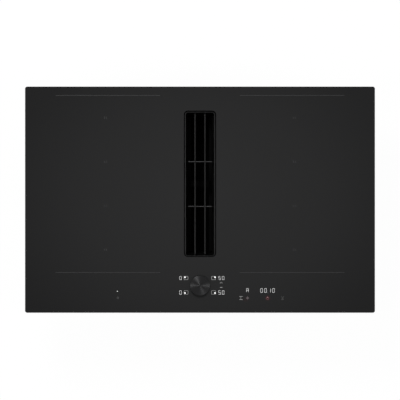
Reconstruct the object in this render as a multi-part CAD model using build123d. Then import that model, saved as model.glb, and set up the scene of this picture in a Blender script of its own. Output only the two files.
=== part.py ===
from build123d import *
import math
import os

# Downdraft induction cooktop: a glass plate that drops into a worktop cut-out, with two
# flexible induction zones of four coils each, a magnetic control knob, and an air inlet in
# the middle that draws cooking vapour down through grease filters to a blower below.
#
# Frame: millimetres, X to the user's right, Y to the back, Z up. The origin is the middle
# of the seat, so Z = 0 is the surface of the worktop that the glass plate's seal rests on.

os.makedirs("parts", exist_ok=True)

THROUGH = 1.0  # how far a cutting body runs past the face it opens
LEFT, RIGHT = -1, 1

# Glass plate and the seal it rests on
GLASS_W = 792.0
GLASS_D = 512.0
GLASS_T = 4.0
GLASS_CORNER_R = 5.0
GLASS_BEVEL = 1.0
SEAL_T = 2.0
SEAL_W = 8.0
SEAL_INSET = 3.0
GLASS_LOW = SEAL_T
GLASS_TOP = GLASS_LOW + GLASS_T

# Worktop cut-out that the casing drops into
CUTOUT_W = 760.0

# Air inlet opening in the glass
VENT_W = 72.5
VENT_L = 331.0
VENT_Y = 36.0
VENT_R = 9.0
VENT_ARRIS = 0.5

# Sheet-steel casing that hangs under the glass
CASE_W = 744.0
CASE_D = 474.0
CASE_R = 8.0
CASE_SHEET = 1.0
CASE_FLANGE = 6.0
CASE_DEPTH = 54.0
BEAD_L = 230.0
BEAD_W = 12.0
BEAD_H = 1.5
BEAD_X = 220.0
BEAD_Y = (-40.0, 0.0, 40.0, 80.0)
WALL_SLOTS = 16
WALL_SLOT_X = 110.0
WALL_SLOT_PITCH = 12.0
WALL_SLOT_W = 3.5
WALL_SLOT_LOW = 12.0
WALL_SLOT_HIGH = 38.0
CASE_UNDER = -CASE_DEPTH
CASE_FLOOR = CASE_UNDER + CASE_SHEET
CASE_INSIDE_X = CASE_W / 2 - CASE_SHEET
CASE_INSIDE_Y = CASE_D / 2 - CASE_SHEET

# Inlet chimney: a moulded well from the glass down into the vent housing
CHIMNEY_WALL = 2.5
CHIMNEY_SETBACK = 0.5
CHIMNEY_FLANGE = 8.0
CHIMNEY_FLANGE_T = 2.0
INLET_SEAL_T = 1.0
LEDGE_Z = -15.0
LEDGE_T = 2.5
LEDGE_W = 5.75
CHIMNEY_REACH = 12.0
CHIMNEY_FIT = 0.5
CHIMNEY_TOP = GLASS_LOW - INLET_SEAL_T
CHIMNEY_IN_W = VENT_W + 2 * CHIMNEY_SETBACK
CHIMNEY_IN_L = VENT_L + 2 * CHIMNEY_SETBACK
CHIMNEY_IN_R = VENT_R + CHIMNEY_SETBACK
WELL_W = CHIMNEY_IN_W - 2 * LEDGE_W
WELL_L = CHIMNEY_IN_L - 2 * LEDGE_W
WELL_R = 6.0
WELL_BOTTOM = CASE_UNDER - CHIMNEY_REACH
CHIMNEY_SPAN = CHIMNEY_IN_W + 2 * (CHIMNEY_WALL + CHIMNEY_FLANGE)

# Grease filter basket that hangs on the chimney's ledge
BASKET_RIM_T = 2.5
BASKET_RIM_PLAY = 0.6
BASKET_PLAY = 1.0
BASKET_WALL = 2.0
BASKET_FLOOR_T = 2.5
BASKET_BOTTOM = -130.0
BASKET_WINDOWS = 4
BASKET_POST = 10.0
BASKET_SILL = 4.0
HANDLE_W = 14.0
HANDLE_T = 4.0
HANDLE_DROP = 22.0
BASKET_W = WELL_W - 2 * BASKET_PLAY
BASKET_L = WELL_L - 2 * BASKET_PLAY
BASKET_R = WELL_R - BASKET_PLAY
BASKET_RIM_TOP = LEDGE_Z + BASKET_RIM_T

# Grease filter cassettes inside the basket
CASSETTE_T = 7.0
CASSETTE_EDGE = 5.0
CASSETTE_PLAY = 0.3
CASSETTE_NET_T = 1.6
CASSETTE_TOP = -62.0
NET_COLUMNS = 36
NET_ROWS = 8
NET_WIRE = 2.6

# Cast inlet grille that stands on the basket's rim
GRILLE_GAP = 1.25
GRILLE_DROP = 0.3
GRILLE_RING = 3.0
GRILLE_RING_ROUND = 0.8
SLAT_T = 3.2
SLAT_X = 11.2
SLAT_FOOT = -9.0
BAR_T = 2.7
BAR_Y = 50.4
BAR_DROP = 1.6
BAR_FOOT = -5.0
DIP_LENGTH = 4.0
DIP_SLOPE = 1.5
DIP_DEPTH = 8.0
GRILLE_W = VENT_W - 2 * GRILLE_GAP
GRILLE_L = VENT_L - 2 * GRILLE_GAP
GRILLE_R = VENT_R - GRILLE_GAP
GRILLE_TOP = GLASS_TOP - GRILLE_DROP
GRILLE_IN_W = GRILLE_W - 2 * GRILLE_RING
GRILLE_IN_L = GRILLE_L - 2 * GRILLE_RING

# Magnetic control knob, held on the glass by a magnet dock beneath it
KNOB_Y = -194.0
KNOB_R = 23.0
KNOB_TOP_R = 22.3
KNOB_H = 10.6
KNOB_DISH = 0.6
KNOB_EDGE_R = 0.4
KNOB_WALL = 1.5
KNOB_ROCK = 0.5
FOOT_R = 9.0
FOOT_T = 0.8
KNOB_BASE_T = 2.0
PIVOT_R = 6.0
PIVOT_H = 4.0
PIVOT_PLAY = 0.4
POCKET_WALL = 1.2
MAGNET_COUNT = 8
MAGNET_R = 2.5
MAGNET_H = 4.0
MAGNET_RING_R = 14.5
KNOB_LOW = GLASS_TOP + FOOT_T
KNOB_BASE_LOW = KNOB_LOW + KNOB_ROCK
KNOB_BASE_TOP = KNOB_BASE_LOW + KNOB_BASE_T

# Induction coils, as a stack from the glass downwards
COIL_COUNT = 4
COIL_PITCH = 99.6
COIL_X = 214.0
COIL_L = 222.0
COIL_W = 94.0
COIL_R = 44.0
COIL_BAND = 32.0
MAT_T = 3.0
MAT_EDGE = 14.0
WINDING_T = 4.0
FORMER_T = 2.0
FORMER_EDGE = 2.0
FERRITE_T = 5.0
FERRITE_W = 13.0
FERRITE_ROW = 4
PLATE_T = 2.0
PLATE_GAP = 2.75
PLATE_W = 316.0
PLATE_SIDE_GAP = 1.5
PLATE_R = 4.0
SENSOR_R = 6.0
SENSOR_PLAY = 0.5
WINDING_TOP = GLASS_LOW - MAT_T
FORMER_TOP = WINDING_TOP - WINDING_T
FERRITE_TOP = FORMER_TOP - FORMER_T
PLATE_TOP = FERRITE_TOP - FERRITE_T
PLATE_UNDER = PLATE_TOP - PLATE_T
PLATE_X = CHIMNEY_SPAN / 2 + PLATE_GAP + PLATE_W / 2
PLATE_L = 2 * (CASE_INSIDE_Y - PLATE_SIDE_GAP - VENT_Y)
POST_R = 4.0
POST_INSET = 8.0

# Power electronics in the casing
BOARD_T = 1.6
BOARD_W = 160.0
BOARD_L = 362.0
BOARD_X = 212.0
BOARD_Y = 32.0
BOARD_R = 2.0
STAND_H = 6.0
STAND_R = 3.5
STAND_INSET = 8.0
BOARD_UNDER = CASE_FLOOR + STAND_H
BOARD_TOP = BOARD_UNDER + BOARD_T
SINK_W = 140.0
SINK_D = 62.0
SINK_H = 26.0
SINK_BASE = 5.0
SINK_FINS = 14
SINK_FIN_T = 2.0
SINK_Y = -112.0

# Larger parts on each power board, in rows from the front
ROW_COUNT = 4
ROW_START = -60.0
ROW_PITCH = 46.0
CAPACITOR_W = 42.0
CAPACITOR_D = 20.0
CAPACITOR_H = 26.0
CAPACITOR_OUT = 46.0
CHOKE_R = 17.0
CHOKE_IN_R = 8.0
CHOKE_H = 14.0
RELAY_W = 16.0
RELAY_D = 28.0
RELAY_H = 15.0
RELAY_OUT = 44.0
CAN_COUNT = 3
CAN_R = 11.0
CAN_H = 27.0
CAN_PITCH = 30.0
CONNECTOR_W = 36.0
CONNECTOR_D = 12.0
CONNECTOR_H = 12.0

# Axial cooling fans on the casing's floor
FAN_SIZE = 70.0
FAN_H = 20.0
FAN_R = 33.0
FAN_CORNER_R = 5.0
FAN_X = 334.0
FAN_Y = -108.0
FAN_HOLE_INSET = 5.0
FAN_HOLE_R = 2.2
FAN_STRUT = 3.0
FAN_MOUNT_R = 13.0
FAN_PIN_R = 2.0
FAN_HUB_R = 15.0
FAN_HUB_T = 2.0
FAN_BLADES = 7
FAN_BLADE_R = 31.0
FAN_BLADE_W = 12.0
FAN_BLADE_T = 1.2
FAN_PITCH = 35.0
FAN_RUN = 1.0
FAN_SLOT_W = 3.0
FAN_SLOT_PITCH = 6.5
RUNNING_FIT = 0.05
FAN_LOW = CASE_FLOOR

# Touch panel electronics under the front of the glass
PANEL_W = 410.0
PANEL_D = 60.0
PANEL_Y = -201.0
PANEL_R = 3.0
LIGHT_BOX_T = 5.0
PANEL_BOARD_T = 1.6
DOCK_R = 20.0
DOCK_IN_R = 12.0
DOCK_PLAY = 0.5
CARRIER_WALL = 2.0
CARRIER_H = 10.0
CARRIER_FOOT = 12.0
PANEL_BOARD_TOP = GLASS_LOW - LIGHT_BOX_T
PANEL_BOARD_UNDER = PANEL_BOARD_TOP - PANEL_BOARD_T
DISPLAY_D = 14.0
DISPLAY_SIDE_W = 26.0
DISPLAY_SIDE_X = 42.0
TIMER_W = 88.0
TIMER_X = 142.0
TIMER_Y = -206.0

# Vent housing under the casing, in an upper and a lower moulded shell
HOUSING_LEFT = -290.0
HOUSING_RIGHT = 62.0
HOUSING_FRONT = -185.0
HOUSING_BACK = 236.0
HOUSING_R = 18.0
HOUSING_WALL = 2.5
HOUSING_SPLIT = -112.0
HOUSING_BOTTOM = -217.0
HOUSING_FLANGE = 8.0
HOUSING_FLANGE_T = 2.5
SCREWS_PER_SIDE = 4
SCREWS_PER_END = 3
HOUSING_TOP = CASE_UNDER
HOUSING_W = HOUSING_RIGHT - HOUSING_LEFT
HOUSING_D = HOUSING_BACK - HOUSING_FRONT
HOUSING_X = (HOUSING_RIGHT + HOUSING_LEFT) / 2
HOUSING_Y = (HOUSING_BACK + HOUSING_FRONT) / 2
HOUSING_FLOOR = HOUSING_BOTTOM + HOUSING_WALL
RIB_T = 1.8
RIB_PROUD = 2.5
RIB_PITCH = 38.0
RIB_UNDER = 6.0
LUG_LEFT_Y = (60.0, 190.0)
LUG_RIGHT_Y = (-120.0, 40.0, 200.0)
LUG_FRONT_X = (-220.0, 0.0)
LUG_R = 3.0
LUG_W = 20.0
LUG_OUT = 13.0
LUG_T = 3.0

# Partition between the scroll on the left and the intake chamber on the right
PARTITION_X = -68.5
CHAMBER_FLOOR = -150.0
DRAIN_R = 14.0
DRAIN_WALL = 2.0
DRAIN_SPOUT = 6.0

# Overflow tank in its bay under the intake chamber
BAY_FRONT = -76.0
BAY_LENGTH = 224.0
TANK_PLAY = 1.0
TANK_WALL = 2.0
TANK_R = 8.0
TANK_SEAT_GAP = 0.3
TANK_RAISE = 1.0
TANK_BEAD = 0.7
TANK_BEAD_L = 120.0
TANK_BEAD_H = 2.0
TANK_BEAD_DROP = 8.0
TANK_FOOT_R = 3.0
TANK_GRIP_R = 4.0
TANK_GRIP_W = 60.0
TANK_GRIP_D = 16.0
TANK_GRIP_H = 14.0
BAY_LEFT = PARTITION_X + HOUSING_WALL
BAY_RIGHT = HOUSING_RIGHT - HOUSING_WALL
BAY_BACK = BAY_FRONT + BAY_LENGTH
BAY_X = (BAY_LEFT + BAY_RIGHT) / 2
BAY_Y = (BAY_FRONT + BAY_BACK) / 2
TANK_TOP = CHAMBER_FLOOR - HOUSING_WALL - TANK_SEAT_GAP
TANK_LOW = HOUSING_BOTTOM + TANK_RAISE

# Blower: scroll, motor and wheel on an upright axis
WHEEL_R = 80.0
WHEEL_DISC_T = 2.0
WHEEL_BLADES = 11
WHEEL_BLADE_T = 2.0
WHEEL_BLADE_IN_R = 47.0
WHEEL_SWEEP = 38.0
WHEEL_HALF_SWEEP = 16.0
WHEEL_SLEEVE_H = 35.0
WHEEL_INLET_R = 58.0
SCROLL_GAP = 8.0
SCROLL_WALL = 2.5
SCROLL_TOP = -118.0
SCROLL_COVER_T = 2.5
SCROLL_PLAY = 0.5
SCROLL_ARCS = 6
TONGUE_ANGLE = 60.0
TONGUE_R = 3.0
DIFFUSER_END_Y = 176.0
COVER_LEDGE = 6.0
COVER_SCREW_INSET = 11.0
FLOOR_RINGS = (52.0, 64.0, 76.0)
FLOOR_RING_W = 3.0
FLOOR_RING_DEPTH = 0.8
BELL_R = 54.0
BELL_WALL = 2.0
BELL_DEPTH = 8.0
BELL_FLARE = 1.6
WHEEL_HEAD_GAP = 12.0
MOTOR_BOSS_H = 3.0
MOTOR_BOSS_R = 7.0
MOTOR_BUSH_H = 5.0
MOTOR_BUSH_R = 6.0
MOTOR_STUD_R = 2.0
MOTOR_SCREW_PLAY = 1.2
MOTOR_FLANGE_T = 3.0
MOTOR_FLANGE_R = 44.0
MOTOR_RUN = 2.0
ROTOR_R = 38.0
ROTOR_WALL = 2.0
ROTOR_H = 50.0
ROTOR_MAGNET_T = 1.8
STATOR_GAP = 1.2
STATOR_H = 38.0
STATOR_R = ROTOR_R - ROTOR_WALL - ROTOR_MAGNET_T - STATOR_GAP
SHAFT_R = 4.0
BEARING_R = 9.0
BEARING_W = 7.0
HUB_WALL = 3.0
HUB_GAP = 1.5
VOLUTE_R0 = WHEEL_R + SCROLL_GAP
SCROLL_LEFT = HOUSING_LEFT + HOUSING_WALL
# The scroll's last radius fills the width that its first leaves between wall and partition
TONGUE_SHARE = (180.0 - TONGUE_ANGLE) / (360.0 - TONGUE_ANGLE)
VOLUTE_R1 = (
    PARTITION_X - SCROLL_LEFT - SCROLL_WALL - VOLUTE_R0 * (1 - TONGUE_SHARE)
) / (1 + TONGUE_SHARE)
SCROLL_X = PARTITION_X - VOLUTE_R1
FRONT_SHARE = (270.0 - TONGUE_ANGLE) / (360.0 - TONGUE_ANGLE)
FRONT_R = VOLUTE_R0 + (VOLUTE_R1 - VOLUTE_R0) * FRONT_SHARE
SCROLL_Y = HOUSING_FRONT + HOUSING_WALL + SCROLL_WALL + FRONT_R
MOTOR_FLANGE_LOW = HOUSING_FLOOR + MOTOR_BOSS_H + MOTOR_BUSH_H
MOTOR_FLANGE_TOP = MOTOR_FLANGE_LOW + MOTOR_FLANGE_T
WHEEL_LOW = MOTOR_FLANGE_TOP + MOTOR_RUN
WHEEL_TOP = SCROLL_TOP - WHEEL_HEAD_GAP
ROTOR_TOP = WHEEL_LOW + ROTOR_H
BEARING_HIGH = ROTOR_TOP - ROTOR_WALL - HUB_GAP
BEARING_LOW = MOTOR_FLANGE_TOP + MOTOR_RUN + HUB_GAP

# Duct outlet at the back, for flat duct 222 x 89 mm
SPIGOT_W = 218.0
SPIGOT_H = 85.0
SPIGOT_R = 8.0
SPIGOT_WALL = 2.0
SPIGOT_REACH = 16.0
SPIGOT_RIDGE = 0.8
SPIGOT_RIDGE_AT = 11.0
SPIGOT_FLANGE = 5.0
SPIGOT_FLANGE_T = 2.0
SPIGOT_X = (SCROLL_LEFT + PARTITION_X) / 2
SPIGOT_Z = (HOUSING_FLOOR + SCROLL_TOP) / 2

# Mains terminal box under the casing
TERMINAL_X = 250.0
TERMINAL_Y = 172.0
TERMINAL_W = 118.0
TERMINAL_D = 72.0
TERMINAL_H = 34.0
TERMINAL_WALL = 2.0
TERMINAL_R = 5.0
CABLE_R = 7.5
GLAND_R = 11.0
GLAND_REACH = 12.0
POLES = 5
POLE_PITCH = 13.0
POLE_D = 20.0
POLE_H = 16.0
POLE_R = 3.0
POLE_SETBACK = 6.0
SADDLE_W = 36.0
SADDLE_D = 10.0
TERMINAL_INSET = 8.0
TERMINAL_POST_R = 4.5
WIRE_R = 9.0
WIRE_SETBACK = 20.0
WIRE_Y = TERMINAL_Y - WIRE_SETBACK
TERMINAL_LOW = CASE_UNDER - TERMINAL_H
CABLE_Z = CASE_UNDER - TERMINAL_H / 2

# Leaf springs that centre the casing in the worktop cut-out
SPRING_Y = 150.0
SPRING_W = 24.0
SPRING_T = 0.8
SPRING_TOP = -8.0
SPRING_TAB = 16.0
SPRING_SQUEEZE = 1.5
SPRING_DROP = 26.0
SPRING_BULGE = (CUTOUT_W - CASE_W) / 2 + SPRING_SQUEEZE - SPRING_T

# Fasteners
SCREW_R = 2.0
SCREW_HEAD_R = 3.8
SCREW_HEAD_T = 2.4
SCREW_HOLE_PLAY = 0.2
SCREW_BITE = 3.0
COVER_SCREW_BITE = 8.0
MOTOR_HEAD_T = 1.5
MOTOR_PCD_R = STATOR_R + MOTOR_SCREW_PLAY + SCREW_HEAD_R


def prism(width, depth, low, high, radius=0.0, x=0.0, y=0.0):
    """An upright block between two heights, with rounded corners if a radius is given."""
    outline = RectangleRounded(width, depth, radius) if radius > 0 else Rectangle(width, depth)
    return Pos(x, y, low) * extrude(outline, high - low)


def frame_ring(width, depth, wall, low, high, radius, x=0.0, y=0.0):
    """An upright rectangular ring of one wall thickness, measured over its outside."""
    inner_radius = max(radius - wall, 0.5)
    outer = prism(width, depth, low, high, radius, x, y)
    return outer - prism(width - 2 * wall, depth - 2 * wall, low, high, inner_radius, x, y)


def disc(radius, low, high, x=0.0, y=0.0):
    """An upright cylinder between two heights."""
    return Pos(x, y, (low + high) / 2) * Cylinder(radius, high - low)


def round_ring(outer, inner, low, high, x=0.0, y=0.0):
    """An upright cylindrical ring between two heights."""
    return disc(outer, low, high, x, y) - disc(inner, low - THROUGH, high + THROUGH, x, y)


def block(x0, x1, y0, y1, z0, z1):
    """A plain block between two corners."""
    return Pos((x0 + x1) / 2, (y0 + y1) / 2, (z0 + z1) / 2) * Box(x1 - x0, y1 - y0, z1 - z0)


def polar(radius, degrees, x=0.0, y=0.0):
    """The point at a radius and angle about a centre."""
    angle = math.radians(degrees)
    return (x + radius * math.cos(angle), y + radius * math.sin(angle))


def joined(pieces):
    """One body from overlapping pieces."""
    body = pieces[0]
    return body.fuse(*pieces[1:]) if len(pieces) > 1 else body


def group(pieces):
    """Separate solids kept side by side in one node."""
    return Compound(children=[solid for piece in pieces for solid in piece.solids()])


def save(name, shape):
    """Writes one sub-part."""
    export_step(shape, f"parts/{name}.step")


def side_name(side):
    return "left" if side == LEFT else "right"


def upright_screw(x, y, seat, length):
    """A screw driven upwards, its head's top face on the seat."""
    head = disc(SCREW_HEAD_R, seat - SCREW_HEAD_T, seat, x, y)
    rim = head.faces().sort_by(Axis.Z)[0].edges()
    return fillet(rim, SCREW_HEAD_T / 3) + disc(SCREW_R, seat, seat + length, x, y)


def side_screw(x, y, z, side, length):
    """A screw driven sideways into a wall, from outside."""
    head = Pos(x + side * SCREW_HEAD_T / 2, y, z) * Rot(0, 90, 0) * Cylinder(
        SCREW_HEAD_R, SCREW_HEAD_T
    )
    shank = Pos(x - side * length / 2, y, z) * Rot(0, 90, 0) * Cylinder(SCREW_R, length)
    return head + shank


# ---------------------------------------------------------------- glass and seals


def glass_plate():
    """Glass-ceramic plate with a bevelled edge and the air inlet opening."""
    plate = prism(GLASS_W, GLASS_D, GLASS_LOW, GLASS_TOP, GLASS_CORNER_R)
    plate = chamfer(plate.faces().sort_by(Axis.Z)[-1].edges(), GLASS_BEVEL)
    opening = prism(
        VENT_W, VENT_L, GLASS_LOW - THROUGH, GLASS_TOP + THROUGH, VENT_R, y=VENT_Y
    )
    plate = plate - opening
    rim = plate.faces().sort_by(Axis.Z)[-1].inner_wires()[0].edges()
    return chamfer(rim, VENT_ARRIS)


def perimeter_seal():
    """Foam tape round the underside of the glass, which rests on the worktop."""
    width, depth = GLASS_W - 2 * SEAL_INSET, GLASS_D - 2 * SEAL_INSET
    return frame_ring(width, depth, SEAL_W, 0, SEAL_T, GLASS_CORNER_R)


def inlet_seal():
    """Silicone ring between the glass and the chimney's flange."""
    span = CHIMNEY_WALL + CHIMNEY_FLANGE
    width, length = CHIMNEY_IN_W + 2 * span, CHIMNEY_IN_L + 2 * span
    return frame_ring(
        width, length, span, CHIMNEY_TOP, GLASS_LOW, CHIMNEY_IN_R + span, y=VENT_Y
    )


# ---------------------------------------------------------------- inlet and filters


def inlet_chimney():
    """Moulded well: a flange under the glass, a ledge for the basket and a lower neck."""
    span = CHIMNEY_WALL + CHIMNEY_FLANGE
    ledge_low = LEDGE_Z - LEDGE_T
    flange = frame_ring(
        CHIMNEY_IN_W + 2 * span,
        CHIMNEY_IN_L + 2 * span,
        span,
        CHIMNEY_TOP - CHIMNEY_FLANGE_T,
        CHIMNEY_TOP,
        CHIMNEY_IN_R + span,
        y=VENT_Y,
    )
    collar = frame_ring(
        CHIMNEY_IN_W + 2 * CHIMNEY_WALL,
        CHIMNEY_IN_L + 2 * CHIMNEY_WALL,
        CHIMNEY_WALL,
        ledge_low,
        CHIMNEY_TOP,
        CHIMNEY_IN_R + CHIMNEY_WALL,
        y=VENT_Y,
    )
    ledge = frame_ring(
        CHIMNEY_IN_W + 2 * CHIMNEY_WALL,
        CHIMNEY_IN_L + 2 * CHIMNEY_WALL,
        CHIMNEY_WALL + LEDGE_W,
        ledge_low,
        LEDGE_Z,
        CHIMNEY_IN_R + CHIMNEY_WALL,
        y=VENT_Y,
    )
    neck = frame_ring(
        WELL_W + 2 * CHIMNEY_WALL,
        WELL_L + 2 * CHIMNEY_WALL,
        CHIMNEY_WALL,
        WELL_BOTTOM,
        LEDGE_Z,
        WELL_R + CHIMNEY_WALL,
        y=VENT_Y,
    )
    well = prism(WELL_W, WELL_L, WELL_BOTTOM, LEDGE_Z, WELL_R, y=VENT_Y)
    return joined([flange, collar, ledge, neck]) - well


def filter_basket():
    """Basket with a rim, a drip floor, windows along both sides and a lifting bar."""
    rim_w = CHIMNEY_IN_W - 2 * BASKET_RIM_PLAY
    rim_l = CHIMNEY_IN_L - 2 * BASKET_RIM_PLAY
    rim_wall = (rim_w - BASKET_W) / 2 + BASKET_WALL
    rim_radius = CHIMNEY_IN_R - BASKET_RIM_PLAY
    rim = frame_ring(rim_w, rim_l, rim_wall, LEDGE_Z, BASKET_RIM_TOP, rim_radius, y=VENT_Y)
    shell = frame_ring(
        BASKET_W, BASKET_L, BASKET_WALL, BASKET_BOTTOM, BASKET_RIM_TOP, BASKET_R, y=VENT_Y
    )
    floor = prism(
        BASKET_W, BASKET_L, BASKET_BOTTOM, BASKET_BOTTOM + BASKET_FLOOR_T, BASKET_R, y=VENT_Y
    )
    bar_top = BASKET_RIM_TOP - HANDLE_DROP
    bar = prism(BASKET_W - BASKET_WALL, HANDLE_W, bar_top - HANDLE_T, bar_top, y=VENT_Y)
    basket = joined([rim, shell, floor, bar])
    run = BASKET_L - 2 * BASKET_POST
    pitch = run / BASKET_WINDOWS
    sill = BASKET_BOTTOM + BASKET_FLOOR_T + BASKET_SILL
    lintel = WELL_BOTTOM - BASKET_SILL
    for i in range(BASKET_WINDOWS):
        y = VENT_Y - run / 2 + (i + 0.5) * pitch
        half = (pitch - BASKET_POST) / 2
        basket = basket - block(-BASKET_W, BASKET_W, y - half, y + half, sill, lintel)
    return basket


def grease_cassette(side):
    """Framed net of expanded metal that stands along one side of the basket."""
    outer_x = BASKET_W / 2 - BASKET_WALL - CASSETTE_PLAY
    low, high = BASKET_BOTTOM + BASKET_FLOOR_T, CASSETTE_TOP
    length, height = BASKET_L - 2 * BASKET_R, high - low
    middle = Pos(side * (outer_x - CASSETTE_T / 2), VENT_Y, (low + high) / 2)
    net_l, net_h = length - 2 * CASSETTE_EDGE, height - 2 * CASSETTE_EDGE
    cell_l, cell_h = net_l / NET_COLUMNS, net_h / NET_ROWS
    holes = [
        Pos(point.position) * Rectangle(cell_l - NET_WIRE, cell_h - NET_WIRE)
        for point in GridLocations(cell_l, cell_h, NET_COLUMNS, NET_ROWS)
    ]
    edge = Rectangle(length, height) - Rectangle(net_l, net_h)
    sheet = Rectangle(net_l + NET_WIRE, net_h + NET_WIRE) - holes
    frame = extrude(Plane.YZ * edge, CASSETTE_T / 2, both=True)
    net = extrude(Plane.YZ * sheet, CASSETTE_NET_T / 2, both=True)
    return middle * (frame + net)


def dipped_blade(plane, length, thickness, top, foot):
    """A grille blade whose ends dip below its top edge before they meet the ring."""
    half, low = length / 2, top - DIP_DEPTH
    outline = Polyline(
        (-half, foot),
        (-half, low),
        (-half + DIP_LENGTH - DIP_SLOPE, low),
        (-half + DIP_LENGTH, top),
        (half - DIP_LENGTH, top),
        (half - DIP_LENGTH + DIP_SLOPE, low),
        (half, low),
        (half, foot),
        close=True,
    )
    return extrude(plane * make_face(outline), thickness / 2, both=True)


def inlet_grille():
    """Cast grille: an outer ring, two long slats and two lower cross bars."""
    ring = frame_ring(
        GRILLE_W, GRILLE_L, GRILLE_RING, BASKET_RIM_TOP, GRILLE_TOP, GRILLE_R, y=VENT_Y
    )
    ring = fillet(ring.faces().sort_by(Axis.Z)[-1].edges(), GRILLE_RING_ROUND)
    lap = GRILLE_RING / 2
    pieces = [ring]
    for side in (LEFT, RIGHT):
        slat = dipped_blade(Plane.YZ, GRILLE_IN_L + 2 * lap, SLAT_T, GRILLE_TOP, SLAT_FOOT)
        pieces.append(Pos(side * SLAT_X, VENT_Y, 0) * slat)
        bar_top = GRILLE_TOP - BAR_DROP
        bar = dipped_blade(Plane.XZ, GRILLE_IN_W + 2 * lap, BAR_T, bar_top, BAR_FOOT)
        pieces.append(Pos(0, VENT_Y + side * BAR_Y, 0) * bar)
    return joined(pieces)


# ---------------------------------------------------------------- knob


def knob_foot():
    """Glide disc that the knob turns on, resting on the glass."""
    return disc(FOOT_R, GLASS_TOP, KNOB_LOW, y=KNOB_Y)


def knob_pivot():
    """Holding magnet in the middle, which the knob turns and rocks on."""
    return disc(PIVOT_R, KNOB_LOW, KNOB_LOW + PIVOT_H, y=KNOB_Y)


def knob_base():
    """Moulded base plate with a pocket over the pivot, held off the glass to rock."""
    pocket_top = KNOB_LOW + PIVOT_H + KNOB_ROCK
    pocket_r = PIVOT_R + PIVOT_PLAY
    plate = disc(KNOB_R - KNOB_WALL, KNOB_BASE_LOW, KNOB_BASE_TOP, y=KNOB_Y)
    cup = disc(pocket_r + POCKET_WALL, KNOB_BASE_LOW, pocket_top + POCKET_WALL, y=KNOB_Y)
    return plate + cup - disc(pocket_r, KNOB_BASE_LOW - THROUGH, pocket_top, y=KNOB_Y)


def knob_magnets():
    """Ring of sensing magnets on the base, which tell the dock how the knob turns."""
    magnets = []
    for i in range(MAGNET_COUNT):
        x, y = polar(MAGNET_RING_R, i * 360 / MAGNET_COUNT, 0, KNOB_Y)
        magnets.append(disc(MAGNET_R, KNOB_BASE_TOP, KNOB_BASE_TOP + MAGNET_H, x, y))
    return group(magnets)


def knob_cap():
    """Turned metal cap with a shallow dished top."""
    low = KNOB_BASE_LOW
    top = KNOB_LOW + KNOB_H
    shell = make_face(
        Polyline(
            (KNOB_R - KNOB_WALL, low),
            (KNOB_R, low),
            (KNOB_TOP_R, top),
            (KNOB_TOP_R - KNOB_WALL, top),
            (0, top - KNOB_DISH),
            (0, top - KNOB_DISH - KNOB_WALL),
            (KNOB_R - KNOB_WALL, top - KNOB_DISH - KNOB_WALL),
            close=True,
        )
    )
    cap = revolve(Plane.XZ * shell, Axis.Z)
    rim = [edge for edge in cap.edges() if abs(edge.center().Z - top) < 0.01]
    return Pos(0, KNOB_Y, 0) * fillet(rim[:1], KNOB_EDGE_R)


# ---------------------------------------------------------------- casing


def fan_slots(side):
    """Parallel air slots in the floor beneath a cooling fan."""
    slots = []
    reach = FAN_R - FAN_STRUT
    count = int(reach // FAN_SLOT_PITCH)
    for step in range(-count, count + 1):
        x = step * FAN_SLOT_PITCH
        length = 2 * math.sqrt(reach**2 - x**2)
        slot = prism(FAN_SLOT_W, length, CASE_UNDER - THROUGH, CASE_FLOOR + THROUGH)
        slots.append(Pos(side * FAN_X + x, FAN_Y, 0) * slot)
    return slots


def wall_slots():
    """Upright air slots through the casing's back wall, in two groups."""
    slots = []
    for side in (LEFT, RIGHT):
        for step in range(WALL_SLOTS):
            x = side * (WALL_SLOT_X + step * WALL_SLOT_PITCH)
            slots.append(
                block(
                    x - WALL_SLOT_W / 2,
                    x + WALL_SLOT_W / 2,
                    CASE_INSIDE_Y - THROUGH,
                    CASE_D / 2 + THROUGH,
                    CASE_FLOOR + WALL_SLOT_LOW,
                    CASE_FLOOR + WALL_SLOT_HIGH,
                )
            )
    return slots


def floor_beads():
    """Long stiffening beads pressed up into the casing's floor: (ridge, groove) pairs."""
    pairs = []
    top = CASE_FLOOR + BEAD_H
    inner_l, inner_w = BEAD_L - 2 * CASE_SHEET, BEAD_W - 2 * CASE_SHEET
    for y in BEAD_Y:
        ridge = prism(BEAD_L, BEAD_W, CASE_UNDER, top, x=BEAD_X, y=y)
        groove = prism(inner_l, inner_w, CASE_UNDER - THROUGH, top - CASE_SHEET, x=BEAD_X, y=y)
        pairs.append((ridge, groove))
    return pairs


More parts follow.
